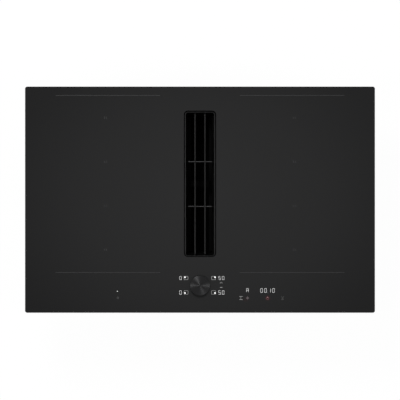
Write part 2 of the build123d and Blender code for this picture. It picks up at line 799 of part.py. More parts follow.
def casing_tray():
    """Folded sheet-steel casing, open at the top, with a flange glued under the glass."""
    tray = prism(CASE_W, CASE_D, CASE_UNDER, GLASS_LOW, CASE_R)
    tray = tray - prism(
        2 * CASE_INSIDE_X, 2 * CASE_INSIDE_Y, CASE_FLOOR, GLASS_LOW + THROUGH, CASE_R - CASE_SHEET
    )
    flange = frame_ring(
        CASE_W + 2 * CASE_FLANGE,
        CASE_D + 2 * CASE_FLANGE,
        CASE_FLANGE + CASE_SHEET,
        GLASS_LOW - CASE_SHEET,
        GLASS_LOW,
        CASE_R + CASE_FLANGE,
    )
    beads = floor_beads()
    tray = joined([tray, flange] + [ridge for ridge, _ in beads])
    hole_w = WELL_W + 2 * (CHIMNEY_WALL + CHIMNEY_FIT)
    hole_l = WELL_L + 2 * (CHIMNEY_WALL + CHIMNEY_FIT)
    cuts = [
        prism(
            hole_w,
            hole_l,
            CASE_UNDER - THROUGH,
            CASE_FLOOR + THROUGH,
            WELL_R + CHIMNEY_WALL + CHIMNEY_FIT,
            y=VENT_Y,
        ),
        disc(WIRE_R, CASE_UNDER - THROUGH, CASE_FLOOR + THROUGH, TERMINAL_X, WIRE_Y),
    ]
    cuts += [groove for _, groove in beads]
    cuts += fan_slots(LEFT) + fan_slots(RIGHT) + wall_slots()
    for x, y in lug_places() + terminal_screw_places():
        cuts.append(
            disc(SCREW_R + SCREW_HOLE_PLAY, CASE_UNDER - THROUGH, CASE_FLOOR + THROUGH, x, y)
        )
    for side, y in spring_places():
        cuts.append(spring_hole(side, y))
    return tray.cut(*cuts)


def spring_leaf(side, y):
    """Leaf spring on the casing's side wall that bows out towards the cut-out."""
    wall = CASE_W / 2
    tab_low = SPRING_TOP - SPRING_TAB
    foot = tab_low - SPRING_DROP
    middle = (tab_low + foot) / 2
    face = make_face(
        [
            Line((wall, SPRING_TOP), (wall + SPRING_T, SPRING_TOP)),
            Line((wall + SPRING_T, SPRING_TOP), (wall + SPRING_T, tab_low)),
            ThreePointArc(
                (wall + SPRING_T, tab_low),
                (wall + SPRING_T + SPRING_BULGE, middle),
                (wall + 2 * SPRING_T, foot),
            ),
            Line((wall + 2 * SPRING_T, foot), (wall + SPRING_T, foot)),
            ThreePointArc(
                (wall + SPRING_T, foot), (wall + SPRING_BULGE, middle), (wall, tab_low)
            ),
            Line((wall, tab_low), (wall, SPRING_TOP)),
        ]
    )
    leaf = extrude(Plane.XZ * face, SPRING_W / 2, both=True)
    leaf = leaf if side == RIGHT else mirror(leaf, Plane.YZ)
    return Pos(0, y, 0) * leaf - spring_hole(side, y)


def spring_hole(side, y):
    """Hole for a leaf spring's screw, through the spring and the casing's wall."""
    reach = CASE_SHEET + SPRING_T + 2 * THROUGH
    middle = Pos(side * CASE_W / 2, y, SPRING_TOP - SPRING_TAB / 2)
    return middle * Rot(0, 90, 0) * Cylinder(SCREW_R + SCREW_HOLE_PLAY, 2 * reach)


def spring_places():
    """Side and Y of each leaf spring."""
    return [(side, y) for side in (LEFT, RIGHT) for y in (-SPRING_Y, SPRING_Y)]


# ---------------------------------------------------------------- coils


def coil_y(number):
    """The middle of a coil, counted from the front."""
    return VENT_Y + (number - (COIL_COUNT - 1) / 2) * COIL_PITCH


def coil_winding(side, number):
    """Flat oval winding of litz wire."""
    return frame_ring(
        COIL_L, COIL_W, COIL_BAND, FORMER_TOP, WINDING_TOP, COIL_R, side * COIL_X, coil_y(number)
    )


def coil_formers():
    """Moulded oval former under each winding, with a hole for its sensor."""
    formers = []
    for side in (LEFT, RIGHT):
        for number in range(COIL_COUNT):
            x, y = side * COIL_X, coil_y(number)
            former = prism(
                COIL_L + 2 * FORMER_EDGE,
                COIL_W + 2 * FORMER_EDGE,
                FERRITE_TOP,
                FORMER_TOP,
                COIL_R + FORMER_EDGE,
                x,
                y,
            )
            formers.append(former)
    return group(formers)


def coil_ferrites():
    """Ferrite bars across each winding, lying on the coil plate."""
    bars = []
    for side in (LEFT, RIGHT):
        for number in range(COIL_COUNT):
            x, y = side * COIL_X, coil_y(number)
            reach = COIL_L / 2 - COIL_BAND
            for column in range(FERRITE_ROW):
                bar_x = x + (column - (FERRITE_ROW - 1) / 2) * 2 * reach / FERRITE_ROW
                for row in (-1, 1):
                    bar_y = y + row * (COIL_W - COIL_BAND) / 2
                    bars.append(
                        prism(FERRITE_W, COIL_BAND, PLATE_TOP, FERRITE_TOP, x=bar_x, y=bar_y)
                    )
            for end in (-1, 1):
                bar_x = x + end * (COIL_L - COIL_BAND) / 2
                bars.append(prism(COIL_BAND, FERRITE_W, PLATE_TOP, FERRITE_TOP, x=bar_x, y=y))
    return group(bars)


def pan_sensors():
    """Temperature sensor in the middle of each coil, standing on its former."""
    return group(
        [
            disc(SENSOR_R, FORMER_TOP, GLASS_LOW, side * COIL_X, coil_y(number))
            for side in (LEFT, RIGHT)
            for number in range(COIL_COUNT)
        ]
    )


def insulation_mats():
    """Ceramic-fibre mat over each set of coils, holed for the sensors."""
    mats = []
    for side in (LEFT, RIGHT):
        mat = prism(
            PLATE_W - MAT_EDGE, PLATE_L - MAT_EDGE, WINDING_TOP, GLASS_LOW, PLATE_R,
            side * PLATE_X, VENT_Y,
        )
        for number in range(COIL_COUNT):
            mat = mat - disc(
                SENSOR_R + SENSOR_PLAY,
                WINDING_TOP - THROUGH,
                GLASS_LOW + THROUGH,
                side * COIL_X,
                coil_y(number),
            )
        mats.append(mat)
    return group(mats)


def coil_plate(side):
    """Aluminium plate that carries four coils."""
    return prism(PLATE_W, PLATE_L, PLATE_UNDER, PLATE_TOP, PLATE_R, side * PLATE_X, VENT_Y)


def support_posts():
    """Posts from the casing's floor to the coil plates and under the power boards."""
    posts = []
    for side in (LEFT, RIGHT):
        for end in (-1, 1):
            x = side * PLATE_X + end * (PLATE_W / 2 - POST_INSET)
            for row in (-1, 0, 1):
                y = VENT_Y + row * (PLATE_L / 2 - POST_INSET)
                posts.append(disc(POST_R, CASE_FLOOR, PLATE_UNDER, x, y))
            x = side * BOARD_X + end * (BOARD_W / 2 - STAND_INSET)
            for row in (-1, 1):
                y = BOARD_Y + row * (BOARD_L / 2 - STAND_INSET)
                posts.append(disc(STAND_R, CASE_FLOOR, BOARD_UNDER, x, y))
    return group(posts)


# ---------------------------------------------------------------- electronics


def inverter_board(side):
    """Power circuit board for one induction zone."""
    return prism(BOARD_W, BOARD_L, BOARD_UNDER, BOARD_TOP, BOARD_R, side * BOARD_X, BOARD_Y)


def heatsink(side):
    """Finned heatsink on the power board, next to the fan."""
    x = side * BOARD_X
    pieces = [prism(SINK_W, SINK_D, BOARD_TOP, BOARD_TOP + SINK_BASE, x=x, y=SINK_Y)]
    pitch = (SINK_W - SINK_FIN_T) / (SINK_FINS - 1)
    for i in range(SINK_FINS):
        fin_x = x - (SINK_W - SINK_FIN_T) / 2 + i * pitch
        pieces.append(prism(SINK_FIN_T, SINK_D, BOARD_TOP, BOARD_TOP + SINK_H, x=fin_x, y=SINK_Y))
    return joined(pieces)


def power_components(side):
    """The board's larger parts: film capacitors, chokes, relays, cans and a connector."""
    x, parts = side * BOARD_X, []
    for i in range(ROW_COUNT):
        y = BOARD_Y + ROW_START + i * ROW_PITCH
        capacitor_x, relay_x = x - side * CAPACITOR_OUT, x + side * RELAY_OUT
        parts.append(
            prism(
                CAPACITOR_W, CAPACITOR_D, BOARD_TOP, BOARD_TOP + CAPACITOR_H, BOARD_R,
                capacitor_x, y,
            )
        )
        parts.append(round_ring(CHOKE_R, CHOKE_IN_R, BOARD_TOP, BOARD_TOP + CHOKE_H, x, y))
        parts.append(prism(RELAY_W, RELAY_D, BOARD_TOP, BOARD_TOP + RELAY_H, x=relay_x, y=y))
    last_y = BOARD_Y + ROW_START + ROW_COUNT * ROW_PITCH
    for i in range(CAN_COUNT):
        can_x = x - side * (CAPACITOR_OUT - i * CAN_PITCH)
        parts.append(disc(CAN_R, BOARD_TOP, BOARD_TOP + CAN_H, can_x, last_y))
    parts.append(
        prism(
            CONNECTOR_W, CONNECTOR_D, BOARD_TOP, BOARD_TOP + CONNECTOR_H,
            x=x + side * RELAY_OUT, y=last_y,
        )
    )
    return group(parts)


def cooling_fan_frame(side):
    """Square fan frame with a motor mount on four struts."""
    x = side * FAN_X
    frame = prism(FAN_SIZE, FAN_SIZE, FAN_LOW, FAN_LOW + FAN_H, FAN_CORNER_R, x, FAN_Y)
    frame = frame - disc(FAN_R, FAN_LOW - THROUGH, FAN_LOW + FAN_H + THROUGH, x, FAN_Y)
    offset = FAN_SIZE / 2 - FAN_HOLE_INSET
    for dx in (-offset, offset):
        for dy in (-offset, offset):
            frame = frame - disc(
                FAN_HOLE_R, FAN_LOW - THROUGH, FAN_LOW + FAN_H + THROUGH, x + dx, FAN_Y + dy
            )
    high = FAN_LOW + FAN_STRUT
    struts = [
        Pos(x, FAN_Y, 0) * Rot(0, 0, angle) * prism(2 * FAN_R + THROUGH, FAN_STRUT, FAN_LOW, high)
        for angle in (45, 135)
    ]
    mount = disc(FAN_MOUNT_R, FAN_LOW, high, x, FAN_Y)
    pin = disc(FAN_PIN_R, FAN_LOW, FAN_LOW + FAN_H - 2 * FAN_HUB_T, x, FAN_Y)
    return joined([frame, *struts, mount, pin])


def cooling_fan_rotor(side):
    """Hub with pitched blades, bored for the frame's pin."""
    x = side * FAN_X
    low = FAN_LOW + FAN_STRUT + FAN_RUN
    high = FAN_LOW + FAN_H - FAN_RUN
    hub = disc(FAN_HUB_R, low, high, x, FAN_Y)
    middle = (low + high) / 2
    span = FAN_BLADE_R - FAN_HUB_R + FAN_HUB_T
    blades = [
        Pos(x, FAN_Y, middle)
        * Rot(0, 0, i * 360 / FAN_BLADES)
        * Pos(FAN_BLADE_R - span / 2, 0, 0)
        * Rot(FAN_PITCH, 0, 0)
        * Box(span, FAN_BLADE_W, FAN_BLADE_T)
        for i in range(FAN_BLADES)
    ]
    rotor = joined([hub, *blades])
    return rotor - disc(FAN_PIN_R + RUNNING_FIT, low - THROUGH, high - FAN_HUB_T, x, FAN_Y)


def control_frame():
    """Light box between the touch board and the glass, open at displays and dock."""
    frame = prism(PANEL_W, PANEL_D, PANEL_BOARD_TOP, GLASS_LOW, PANEL_R, y=PANEL_Y)
    low, high = PANEL_BOARD_TOP - THROUGH, GLASS_LOW + THROUGH
    cuts = [disc(DOCK_R + DOCK_PLAY, low, high, y=KNOB_Y)]
    for x, y, width in display_places():
        cuts.append(prism(width + 2 * DOCK_PLAY, DISPLAY_D + 2 * DOCK_PLAY, low, high, x=x, y=y))
    return frame.cut(*cuts)


def display_places():
    """Middle and width of each display: two beside the knob and one for the timer."""
    return [
        (-DISPLAY_SIDE_X, KNOB_Y, DISPLAY_SIDE_W),
        (DISPLAY_SIDE_X, KNOB_Y, DISPLAY_SIDE_W),
        (TIMER_X, TIMER_Y, TIMER_W),
    ]


def display_modules():
    """Segment display blocks on the touch board."""
    return group(
        [
            prism(width, DISPLAY_D, PANEL_BOARD_TOP, GLASS_LOW, x=x, y=y)
            for x, y, width in display_places()
        ]
    )


def knob_dock():
    """Magnet ring under the glass that holds and senses the knob."""
    return round_ring(DOCK_R, DOCK_IN_R, PANEL_BOARD_TOP, GLASS_LOW, 0, KNOB_Y)


def control_board():
    """Touch and display circuit board."""
    return prism(PANEL_W, PANEL_D, PANEL_BOARD_UNDER, PANEL_BOARD_TOP, PANEL_R, y=PANEL_Y)


def control_carrier():
    """Moulded tray that holds the touch board up against the glass, on four feet."""
    low = PANEL_BOARD_UNDER - CARRIER_H
    tray = prism(PANEL_W, PANEL_D, low, PANEL_BOARD_UNDER, PANEL_R, y=PANEL_Y)
    tray = tray - prism(
        PANEL_W - 2 * CARRIER_WALL,
        PANEL_D - 2 * CARRIER_WALL,
        low + CARRIER_WALL,
        PANEL_BOARD_UNDER + THROUGH,
        PANEL_R - CARRIER_WALL,
        y=PANEL_Y,
    )
    feet = [
        prism(
            CARRIER_FOOT,
            CARRIER_FOOT,
            CASE_FLOOR,
            low + CARRIER_WALL / 2,
            x=dx * (PANEL_W / 2 - CARRIER_FOOT),
            y=PANEL_Y + dy * (PANEL_D / 2 - CARRIER_FOOT),
        )
        for dx in (-1, 1)
        for dy in (-1, 1)
    ]
    return joined([tray, *feet])


# ---------------------------------------------------------------- vent housing


def lug_places():
    """Screw positions of the lugs that hold the vent housing under the casing."""
    out = LUG_OUT / 2
    left = [(HOUSING_LEFT - out, y) for y in LUG_LEFT_Y]
    right = [(HOUSING_RIGHT + out, y) for y in LUG_RIGHT_Y]
    front = [(x, HOUSING_FRONT - out) for x in LUG_FRONT_X]
    return left + right + front


def flange_screw_places():
    """Screw positions round the flange that joins the two shells."""
    out = HOUSING_FLANGE / 2
    places = []
    side_pitch = (HOUSING_D - 2 * HOUSING_R) / SCREWS_PER_SIDE
    for i in range(SCREWS_PER_SIDE):
        y = HOUSING_FRONT + HOUSING_R + (i + 0.5) * side_pitch
        places += [(HOUSING_LEFT - out, y), (HOUSING_RIGHT + out, y)]
    end_pitch = (HOUSING_W - 2 * HOUSING_R) / SCREWS_PER_END
    for i in range(SCREWS_PER_END):
        x = HOUSING_LEFT + HOUSING_R + (i + 0.5) * end_pitch
        places += [(x, HOUSING_FRONT - out), (x, HOUSING_BACK + out)]
    return places


def shell_flange(low, high):
    """Outward flange round a shell, from just inside its wall."""
    return frame_ring(
        HOUSING_W + 2 * HOUSING_FLANGE,
        HOUSING_D + 2 * HOUSING_FLANGE,
        HOUSING_FLANGE + HOUSING_WALL,
        low,
        high,
        HOUSING_R + HOUSING_FLANGE,
        HOUSING_X,
        HOUSING_Y,
    )


def screw_cuts(places, low, high):
    """Clearance holes for upright screws."""
    return [disc(SCREW_R + SCREW_HOLE_PLAY, low, high, x, y) for x, y in places]


def vent_housing_upper():
    """Upper shell: a lid with a collar for the chimney and lugs for the casing."""
    shell = prism(
        HOUSING_W, HOUSING_D, HOUSING_SPLIT, HOUSING_TOP, HOUSING_R, HOUSING_X, HOUSING_Y
    )
    shell = shell - prism(
        HOUSING_W - 2 * HOUSING_WALL,
        HOUSING_D - 2 * HOUSING_WALL,
        HOUSING_SPLIT - THROUGH,
        HOUSING_TOP - HOUSING_WALL,
        HOUSING_R - HOUSING_WALL,
        HOUSING_X,
        HOUSING_Y,
    )
    flange = shell_flange(HOUSING_SPLIT, HOUSING_SPLIT + HOUSING_FLANGE_T)
    neck_w = WELL_W + 2 * (CHIMNEY_WALL + CHIMNEY_FIT)
    neck_l = WELL_L + 2 * (CHIMNEY_WALL + CHIMNEY_FIT)
    neck_r = WELL_R + CHIMNEY_WALL + CHIMNEY_FIT
    collar = prism(
        neck_w + 2 * HOUSING_WALL,
        neck_l + 2 * HOUSING_WALL,
        WELL_BOTTOM,
        HOUSING_TOP,
        neck_r + HOUSING_WALL,
        y=VENT_Y,
    )
    lugs = []
    for x, y in lug_places():
        at_front = y < HOUSING_FRONT
        width, depth = (LUG_W, 2 * LUG_OUT) if at_front else (2 * LUG_OUT, LUG_W)
        lugs.append(prism(width, depth, HOUSING_TOP - LUG_T, HOUSING_TOP, LUG_R, x, y))
    hollow = prism(
        HOUSING_W - 2 * HOUSING_WALL,
        HOUSING_D - 2 * HOUSING_WALL,
        HOUSING_TOP - LUG_T - THROUGH,
        HOUSING_TOP - HOUSING_WALL,
        HOUSING_R - HOUSING_WALL,
        HOUSING_X,
        HOUSING_Y,
    )
    lugs = [lug - hollow for lug in lugs]
    ribs = wall_ribs(HOUSING_SPLIT, HOUSING_TOP - LUG_T)
    shell = joined([shell, flange, collar, *lugs, *ribs])
    opening = prism(neck_w, neck_l, WELL_BOTTOM - THROUGH, HOUSING_TOP + THROUGH, neck_r, y=VENT_Y)
    cuts = [opening]
    cuts += screw_cuts(lug_places(), HOUSING_TOP - LUG_T - THROUGH, HOUSING_TOP + THROUGH)
    cuts += screw_cuts(
        flange_screw_places(), HOUSING_SPLIT - THROUGH, HOUSING_SPLIT + HOUSING_FLANGE_T + THROUGH
    )
    return shell.cut(*cuts)


def wall_ribs(low, high):
    """Upright stiffening ribs on the outside of the left, right and front walls."""
    ribs = []
    root = HOUSING_WALL / 2
    screws = flange_screw_places() + lug_places()
    count = int((HOUSING_D - 2 * HOUSING_R) // RIB_PITCH)
    for i in range(count + 1):
        y = HOUSING_Y + (i - count / 2) * RIB_PITCH
        if all(abs(y - place[1]) > SCREW_HEAD_R + RIB_T for place in screws):
            for edge, out in ((HOUSING_LEFT, LEFT), (HOUSING_RIGHT, RIGHT)):
                x = edge + out * (RIB_PROUD - root) / 2
                ribs.append(prism(RIB_PROUD + root, RIB_T, low, high, x=x, y=y))
    count = int((HOUSING_W - 2 * HOUSING_R) // RIB_PITCH)
    for i in range(count + 1):
        x = HOUSING_X + (i - count / 2) * RIB_PITCH
        if all(abs(x - place[0]) > SCREW_HEAD_R + RIB_T for place in screws):
            y = HOUSING_FRONT - (RIB_PROUD - root) / 2
            ribs.append(prism(RIB_T, RIB_PROUD + root, low, high, x=x, y=y))
    return ribs


def volute_radius(degrees):
    """The scroll's inside radius, growing evenly from the tongue to a full turn."""
    share = (degrees - TONGUE_ANGLE) / (360.0 - TONGUE_ANGLE)
    return VOLUTE_R0 + (VOLUTE_R1 - VOLUTE_R0) * share


def volute_wall():
    """The scroll's spiral wall, as arcs of equal angle from tongue to partition."""
    step = (360.0 - TONGUE_ANGLE) / SCROLL_ARCS

    def place(degrees, extra):
        return polar(volute_radius(degrees) + extra, degrees, SCROLL_X, SCROLL_Y)

    def run(extra):
        angles = [TONGUE_ANGLE + i * step for i in range(SCROLL_ARCS)]
        return [
            ThreePointArc(place(a, extra), place(a + step / 2, extra), place(a + step, extra))
            for a in angles
        ]

    ends = [Line(place(a, 0), place(a, SCROLL_WALL)) for a in (TONGUE_ANGLE, 360.0)]
    face = make_face([*run(0), *run(SCROLL_WALL), *ends])
    return Pos(0, 0, HOUSING_FLOOR) * extrude(face, SCROLL_TOP - HOUSING_FLOOR)


def diffuser_wall():
    """Slanting wall from the scroll's tongue to the left side of the outlet."""
    x0, y0 = polar(VOLUTE_R0 + SCROLL_WALL / 2, TONGUE_ANGLE, SCROLL_X, SCROLL_Y)
    x1, y1 = SCROLL_LEFT, DIFFUSER_END_Y
    length = math.hypot(x1 - x0, y1 - y0)
    angle = math.degrees(math.atan2(y1 - y0, x1 - x0))
    wall = prism(length, SCROLL_WALL, HOUSING_FLOOR, SCROLL_TOP, x=length / 2)
    tongue = disc(TONGUE_R, HOUSING_FLOOR, SCROLL_TOP)
    return Pos(x0, y0, 0) * Rot(0, 0, angle) * (wall + tongue)


def cover_screw_places():
    """Pillars in the scroll compartment that the scroll cover is screwed to."""
    left, right = SCROLL_LEFT + COVER_SCREW_INSET, PARTITION_X - COVER_SCREW_INSET
    front = HOUSING_FRONT + HOUSING_WALL + COVER_SCREW_INSET
    return [(left, front), (right, front), (left, (DIFFUSER_END_Y + SCROLL_Y) / 2)]


def motor_places():
    """The motor's three fixing points."""
    return [polar(MOTOR_PCD_R, 90 + i * 120, SCROLL_X, SCROLL_Y) for i in range(3)]


def vent_housing_lower():
    """Lower shell: a deep scroll compartment, and a drained chamber over the tank bay."""
    outline = prism(
        HOUSING_W, HOUSING_D, HOUSING_BOTTOM, HOUSING_SPLIT, HOUSING_R, HOUSING_X, HOUSING_Y
    )
    wall = frame_ring(
        HOUSING_W, HOUSING_D, HOUSING_WALL, HOUSING_BOTTOM, HOUSING_SPLIT, HOUSING_R,
        HOUSING_X, HOUSING_Y,
    )
    root = HOUSING_WALL / 2
    left, right = HOUSING_LEFT + root, HOUSING_RIGHT - root
    front, back = HOUSING_FRONT + root, HOUSING_BACK - root
    partition_right = PARTITION_X + HOUSING_WALL
    chamber_low = CHAMBER_FLOOR - HOUSING_WALL
    past_ribs = RIB_PROUD + THROUGH
    step = block(
        partition_right,
        HOUSING_RIGHT + past_ribs,
        HOUSING_FRONT - past_ribs,
        HOUSING_BACK + THROUGH,
        HOUSING_BOTTOM - THROUGH,
        chamber_low,
    )
    floor = block(left, partition_right, front, back, HOUSING_BOTTOM, HOUSING_FLOOR) & outline
    chamber = block(PARTITION_X, right, front, back, chamber_low, CHAMBER_FLOOR) & outline
    partition = block(PARTITION_X, partition_right, front, back, HOUSING_BOTTOM, SCROLL_TOP)
    pieces = [wall - step, floor, chamber, partition & outline]
    pieces.append(shell_flange(HOUSING_SPLIT - HOUSING_FLANGE_T, HOUSING_SPLIT))
    bay_low, bay_high = HOUSING_BOTTOM, CHAMBER_FLOOR - root
    for y in (BAY_FRONT - HOUSING_WALL, BAY_BACK):
        pieces.append(block(PARTITION_X, right, y, y + HOUSING_WALL, bay_low, bay_high))
    pieces.append(
        block(
            BAY_RIGHT,
            HOUSING_RIGHT,
            BAY_FRONT - HOUSING_WALL,
            BAY_BACK + HOUSING_WALL,
            bay_low,
            bay_high,
        )
    )
    pieces += chamber_ribs(chamber_low)
    spout_low = chamber_low - TANK_SEAT_GAP - DRAIN_SPOUT
    pieces.append(disc(DRAIN_R + DRAIN_WALL, spout_low, chamber_low + root, BAY_X, BAY_Y))
    pieces += [volute_wall(), diffuser_wall()]
    pieces.append(
        block(
            left, partition_right, back - COVER_LEDGE, back, SCROLL_TOP - COVER_LEDGE, SCROLL_TOP
        )
        & outline
    )
    for x, y in cover_screw_places():
        pieces.append(disc(MOTOR_BOSS_R, HOUSING_FLOOR - root, SCROLL_TOP, x, y))
    for x, y in motor_places():
        pieces.append(
            disc(MOTOR_BOSS_R, HOUSING_FLOOR - root, HOUSING_FLOOR + MOTOR_BOSS_H, x, y)
        )
    pieces += [
        rib - step for rib in wall_ribs(HOUSING_FLOOR, HOUSING_SPLIT - HOUSING_FLANGE_T)
    ]
    shell = joined(pieces)
    cuts = screw_cuts(
        flange_screw_places(), HOUSING_SPLIT - HOUSING_FLANGE_T - THROUGH, HOUSING_SPLIT + THROUGH
    )
    cuts += screw_cuts(cover_screw_places(), SCROLL_TOP - COVER_SCREW_BITE, SCROLL_TOP + THROUGH)
    cuts.append(disc(DRAIN_R, spout_low - THROUGH, CHAMBER_FLOOR + THROUGH, BAY_X, BAY_Y))
    cuts.append(outlet_opening(HOUSING_BACK - 2 * HOUSING_WALL, HOUSING_BACK + THROUGH))
    for x, y in motor_places():
        cuts.append(
            disc(
                MOTOR_STUD_R + SCREW_HOLE_PLAY,
                HOUSING_BOTTOM - THROUGH,
                HOUSING_FLOOR + MOTOR_BOSS_H + THROUGH,
                x,
                y,
            )
        )
    for radius in FLOOR_RINGS:
        cuts.append(
            round_ring(
                radius + FLOOR_RING_W / 2,
                radius - FLOOR_RING_W / 2,
                HOUSING_BOTTOM - THROUGH,
                HOUSING_BOTTOM + FLOOR_RING_DEPTH,
                SCROLL_X,
                SCROLL_Y,
            )
        )
    return shell.cut(*cuts)


def chamber_ribs(high):
    """Shallow ribs under the chamber's floor, before and behind the tank bay."""
    ribs = []
    low, right = high - RIB_UNDER, HOUSING_RIGHT - HOUSING_WALL
    middle = (PARTITION_X + right) / 2
    front = HOUSING_FRONT + HOUSING_WALL
    back = HOUSING_BACK - HOUSING_WALL
    overlap = HOUSING_WALL / 2
    spans = ((front, BAY_FRONT - overlap), (BAY_BACK + overlap, back))
    for y0, y1 in spans:
        for x in (middle - RIB_PITCH, middle, middle + RIB_PITCH):
            ribs.append(block(x - RIB_T / 2, x + RIB_T / 2, y0, y1, low, high + overlap))
        y = (y0 + y1) / 2
        ribs.append(
            block(PARTITION_X + 1, right, y - RIB_T / 2, y + RIB_T / 2, low, high + overlap)
        )
    return ribs


def outlet_opening(y0, y1):
    """The duct outlet's clear passage between two planes."""
    width, height = SPIGOT_W - 2 * SPIGOT_WALL, SPIGOT_H - 2 * SPIGOT_WALL
    passage = extrude(RectangleRounded(width, height, SPIGOT_R - SPIGOT_WALL), y1 - y0)
    return Pos(SPIGOT_X, y1, SPIGOT_Z) * Rot(90, 0, 0) * passage


def outlet_spigot():
    """Flanged spigot at the back that the flat exhaust duct slides over."""
    flange = extrude(
        RectangleRounded(SPIGOT_W + 2 * SPIGOT_FLANGE, SPIGOT_H + 2 * SPIGOT_FLANGE, SPIGOT_R),
        SPIGOT_FLANGE_T,
    )
    tube = extrude(RectangleRounded(SPIGOT_W, SPIGOT_H, SPIGOT_R), SPIGOT_REACH)
    ridge_w, ridge_h = SPIGOT_W + 2 * SPIGOT_RIDGE, SPIGOT_H + 2 * SPIGOT_RIDGE
    ridge = extrude(RectangleRounded(ridge_w, ridge_h, SPIGOT_R), SPIGOT_RIDGE)
    body = flange + tube + Pos(0, 0, SPIGOT_RIDGE_AT) * ridge
    spigot = Pos(SPIGOT_X, HOUSING_BACK, SPIGOT_Z) * Rot(-90, 0, 0) * body
    return spigot - outlet_opening(HOUSING_BACK - THROUGH, HOUSING_BACK + SPIGOT_REACH + THROUGH)


def overflow_tank():
    """Open tank under the drain, with a finger grip in its floor."""
    width = BAY_RIGHT - BAY_LEFT - 2 * TANK_PLAY
    length = BAY_LENGTH - 2 * TANK_PLAY
    tank = prism(width, length, TANK_LOW, TANK_TOP, TANK_R, BAY_X, BAY_Y)
    tank = fillet(tank.faces().sort_by(Axis.Z)[0].edges(), TANK_FOOT_R)
    tank = tank - prism(
        width - 2 * TANK_WALL,
        length - 2 * TANK_WALL,
        TANK_LOW + TANK_WALL,
        TANK_TOP + THROUGH,
        TANK_R - TANK_WALL,
        BAY_X,
        BAY_Y,
    )
    bead_top = TANK_TOP - TANK_BEAD_DROP
    beads = [
        prism(
            2 * TANK_BEAD,
            TANK_BEAD_L,
            bead_top - TANK_BEAD_H,
            bead_top,
            x=BAY_X + side * width / 2,
            y=BAY_Y,
        )
        for side in (LEFT, RIGHT)
    ]
    grip_y = BAY_FRONT + TANK_PLAY + TANK_GRIP_D
    hump = prism(
        TANK_GRIP_W + 2 * TANK_WALL,
        TANK_GRIP_D + 2 * TANK_WALL,
        TANK_LOW + TANK_WALL / 2,
        TANK_LOW + TANK_GRIP_H + TANK_WALL,
        TANK_GRIP_R + TANK_WALL,
        BAY_X,
        grip_y,
    )
    grip = prism(
        TANK_GRIP_W, TANK_GRIP_D, TANK_LOW - THROUGH, TANK_LOW + TANK_GRIP_H, TANK_GRIP_R,
        BAY_X, grip_y,
    )
    return joined([tank, hump, *beads]) - grip


# ---------------------------------------------------------------- blower


def scroll_cover():
    """Plate over the scroll with a bellmouth that leads air into the wheel."""
    play = SCROLL_PLAY
    x0, x1 = SCROLL_LEFT + play, PARTITION_X + HOUSING_WALL
    y0, y1 = HOUSING_FRONT + HOUSING_WALL + play, HOUSING_BACK - HOUSING_WALL - play
    inside = prism(
        HOUSING_W - 2 * HOUSING_WALL - 2 * play,
        HOUSING_D - 2 * HOUSING_WALL - 2 * play,
        SCROLL_TOP,
        SCROLL_TOP + SCROLL_COVER_T,
        HOUSING_R - HOUSING_WALL - play,
        HOUSING_X,
        HOUSING_Y,
    )
    plate = block(x0, x1, y0, y1, SCROLL_TOP, SCROLL_TOP + SCROLL_COVER_T) & inside
    lip = disc(
        BELL_R + BELL_WALL, SCROLL_TOP - BELL_DEPTH, SCROLL_TOP + SCROLL_COVER_T,
        SCROLL_X, SCROLL_Y,
    )
    cover = plate + lip
    cover = cover - disc(
        BELL_R,
        SCROLL_TOP - BELL_DEPTH - THROUGH,
        SCROLL_TOP + SCROLL_COVER_T + THROUGH,
        SCROLL_X,
        SCROLL_Y,
    )
    mouth = [
        edge
        for edge in cover.faces().sort_by(Axis.Z)[-1].edges()
        if edge.geom_type == GeomType.CIRCLE and abs(edge.radius - BELL_R) < 0.01
    ]
    cover = chamfer(mouth, BELL_FLARE)
    cuts = screw_cuts(cover_screw_places(), SCROLL_TOP - THROUGH, SCROLL_TOP + 2 * SCROLL_COVER_T)
    return cover.cut(*cuts)


def blower_motor_base():
    """Fixed half of the motor: flange, stator and shaft."""
    flange = disc(MOTOR_FLANGE_R, MOTOR_FLANGE_LOW, MOTOR_FLANGE_TOP, SCROLL_X, SCROLL_Y)
    bore = BEARING_R + HUB_WALL + HUB_GAP
    stator = round_ring(
        STATOR_R, bore, MOTOR_FLANGE_LOW, MOTOR_FLANGE_TOP + STATOR_H, SCROLL_X, SCROLL_Y
    )
    shaft = disc(
        SHAFT_R, MOTOR_FLANGE_LOW, ROTOR_TOP - ROTOR_WALL - HUB_GAP / 2, SCROLL_X, SCROLL_Y
    )
    base = joined([flange, stator, shaft])
    holes = [
        disc(MOTOR_STUD_R + SCREW_HOLE_PLAY, MOTOR_FLANGE_LOW - THROUGH,
             MOTOR_FLANGE_TOP + THROUGH, x, y)
        for x, y in motor_places()
    ]
    return base.cut(*holes)


def blower_bushes():
    """Rubber bushes between the housing's bosses and the motor's flange."""
    low = HOUSING_FLOOR + MOTOR_BOSS_H
    return group(
        [
            round_ring(MOTOR_BUSH_R, MOTOR_STUD_R + SCREW_HOLE_PLAY, low, MOTOR_FLANGE_LOW, x, y)
            for x, y in motor_places()
        ]
    )


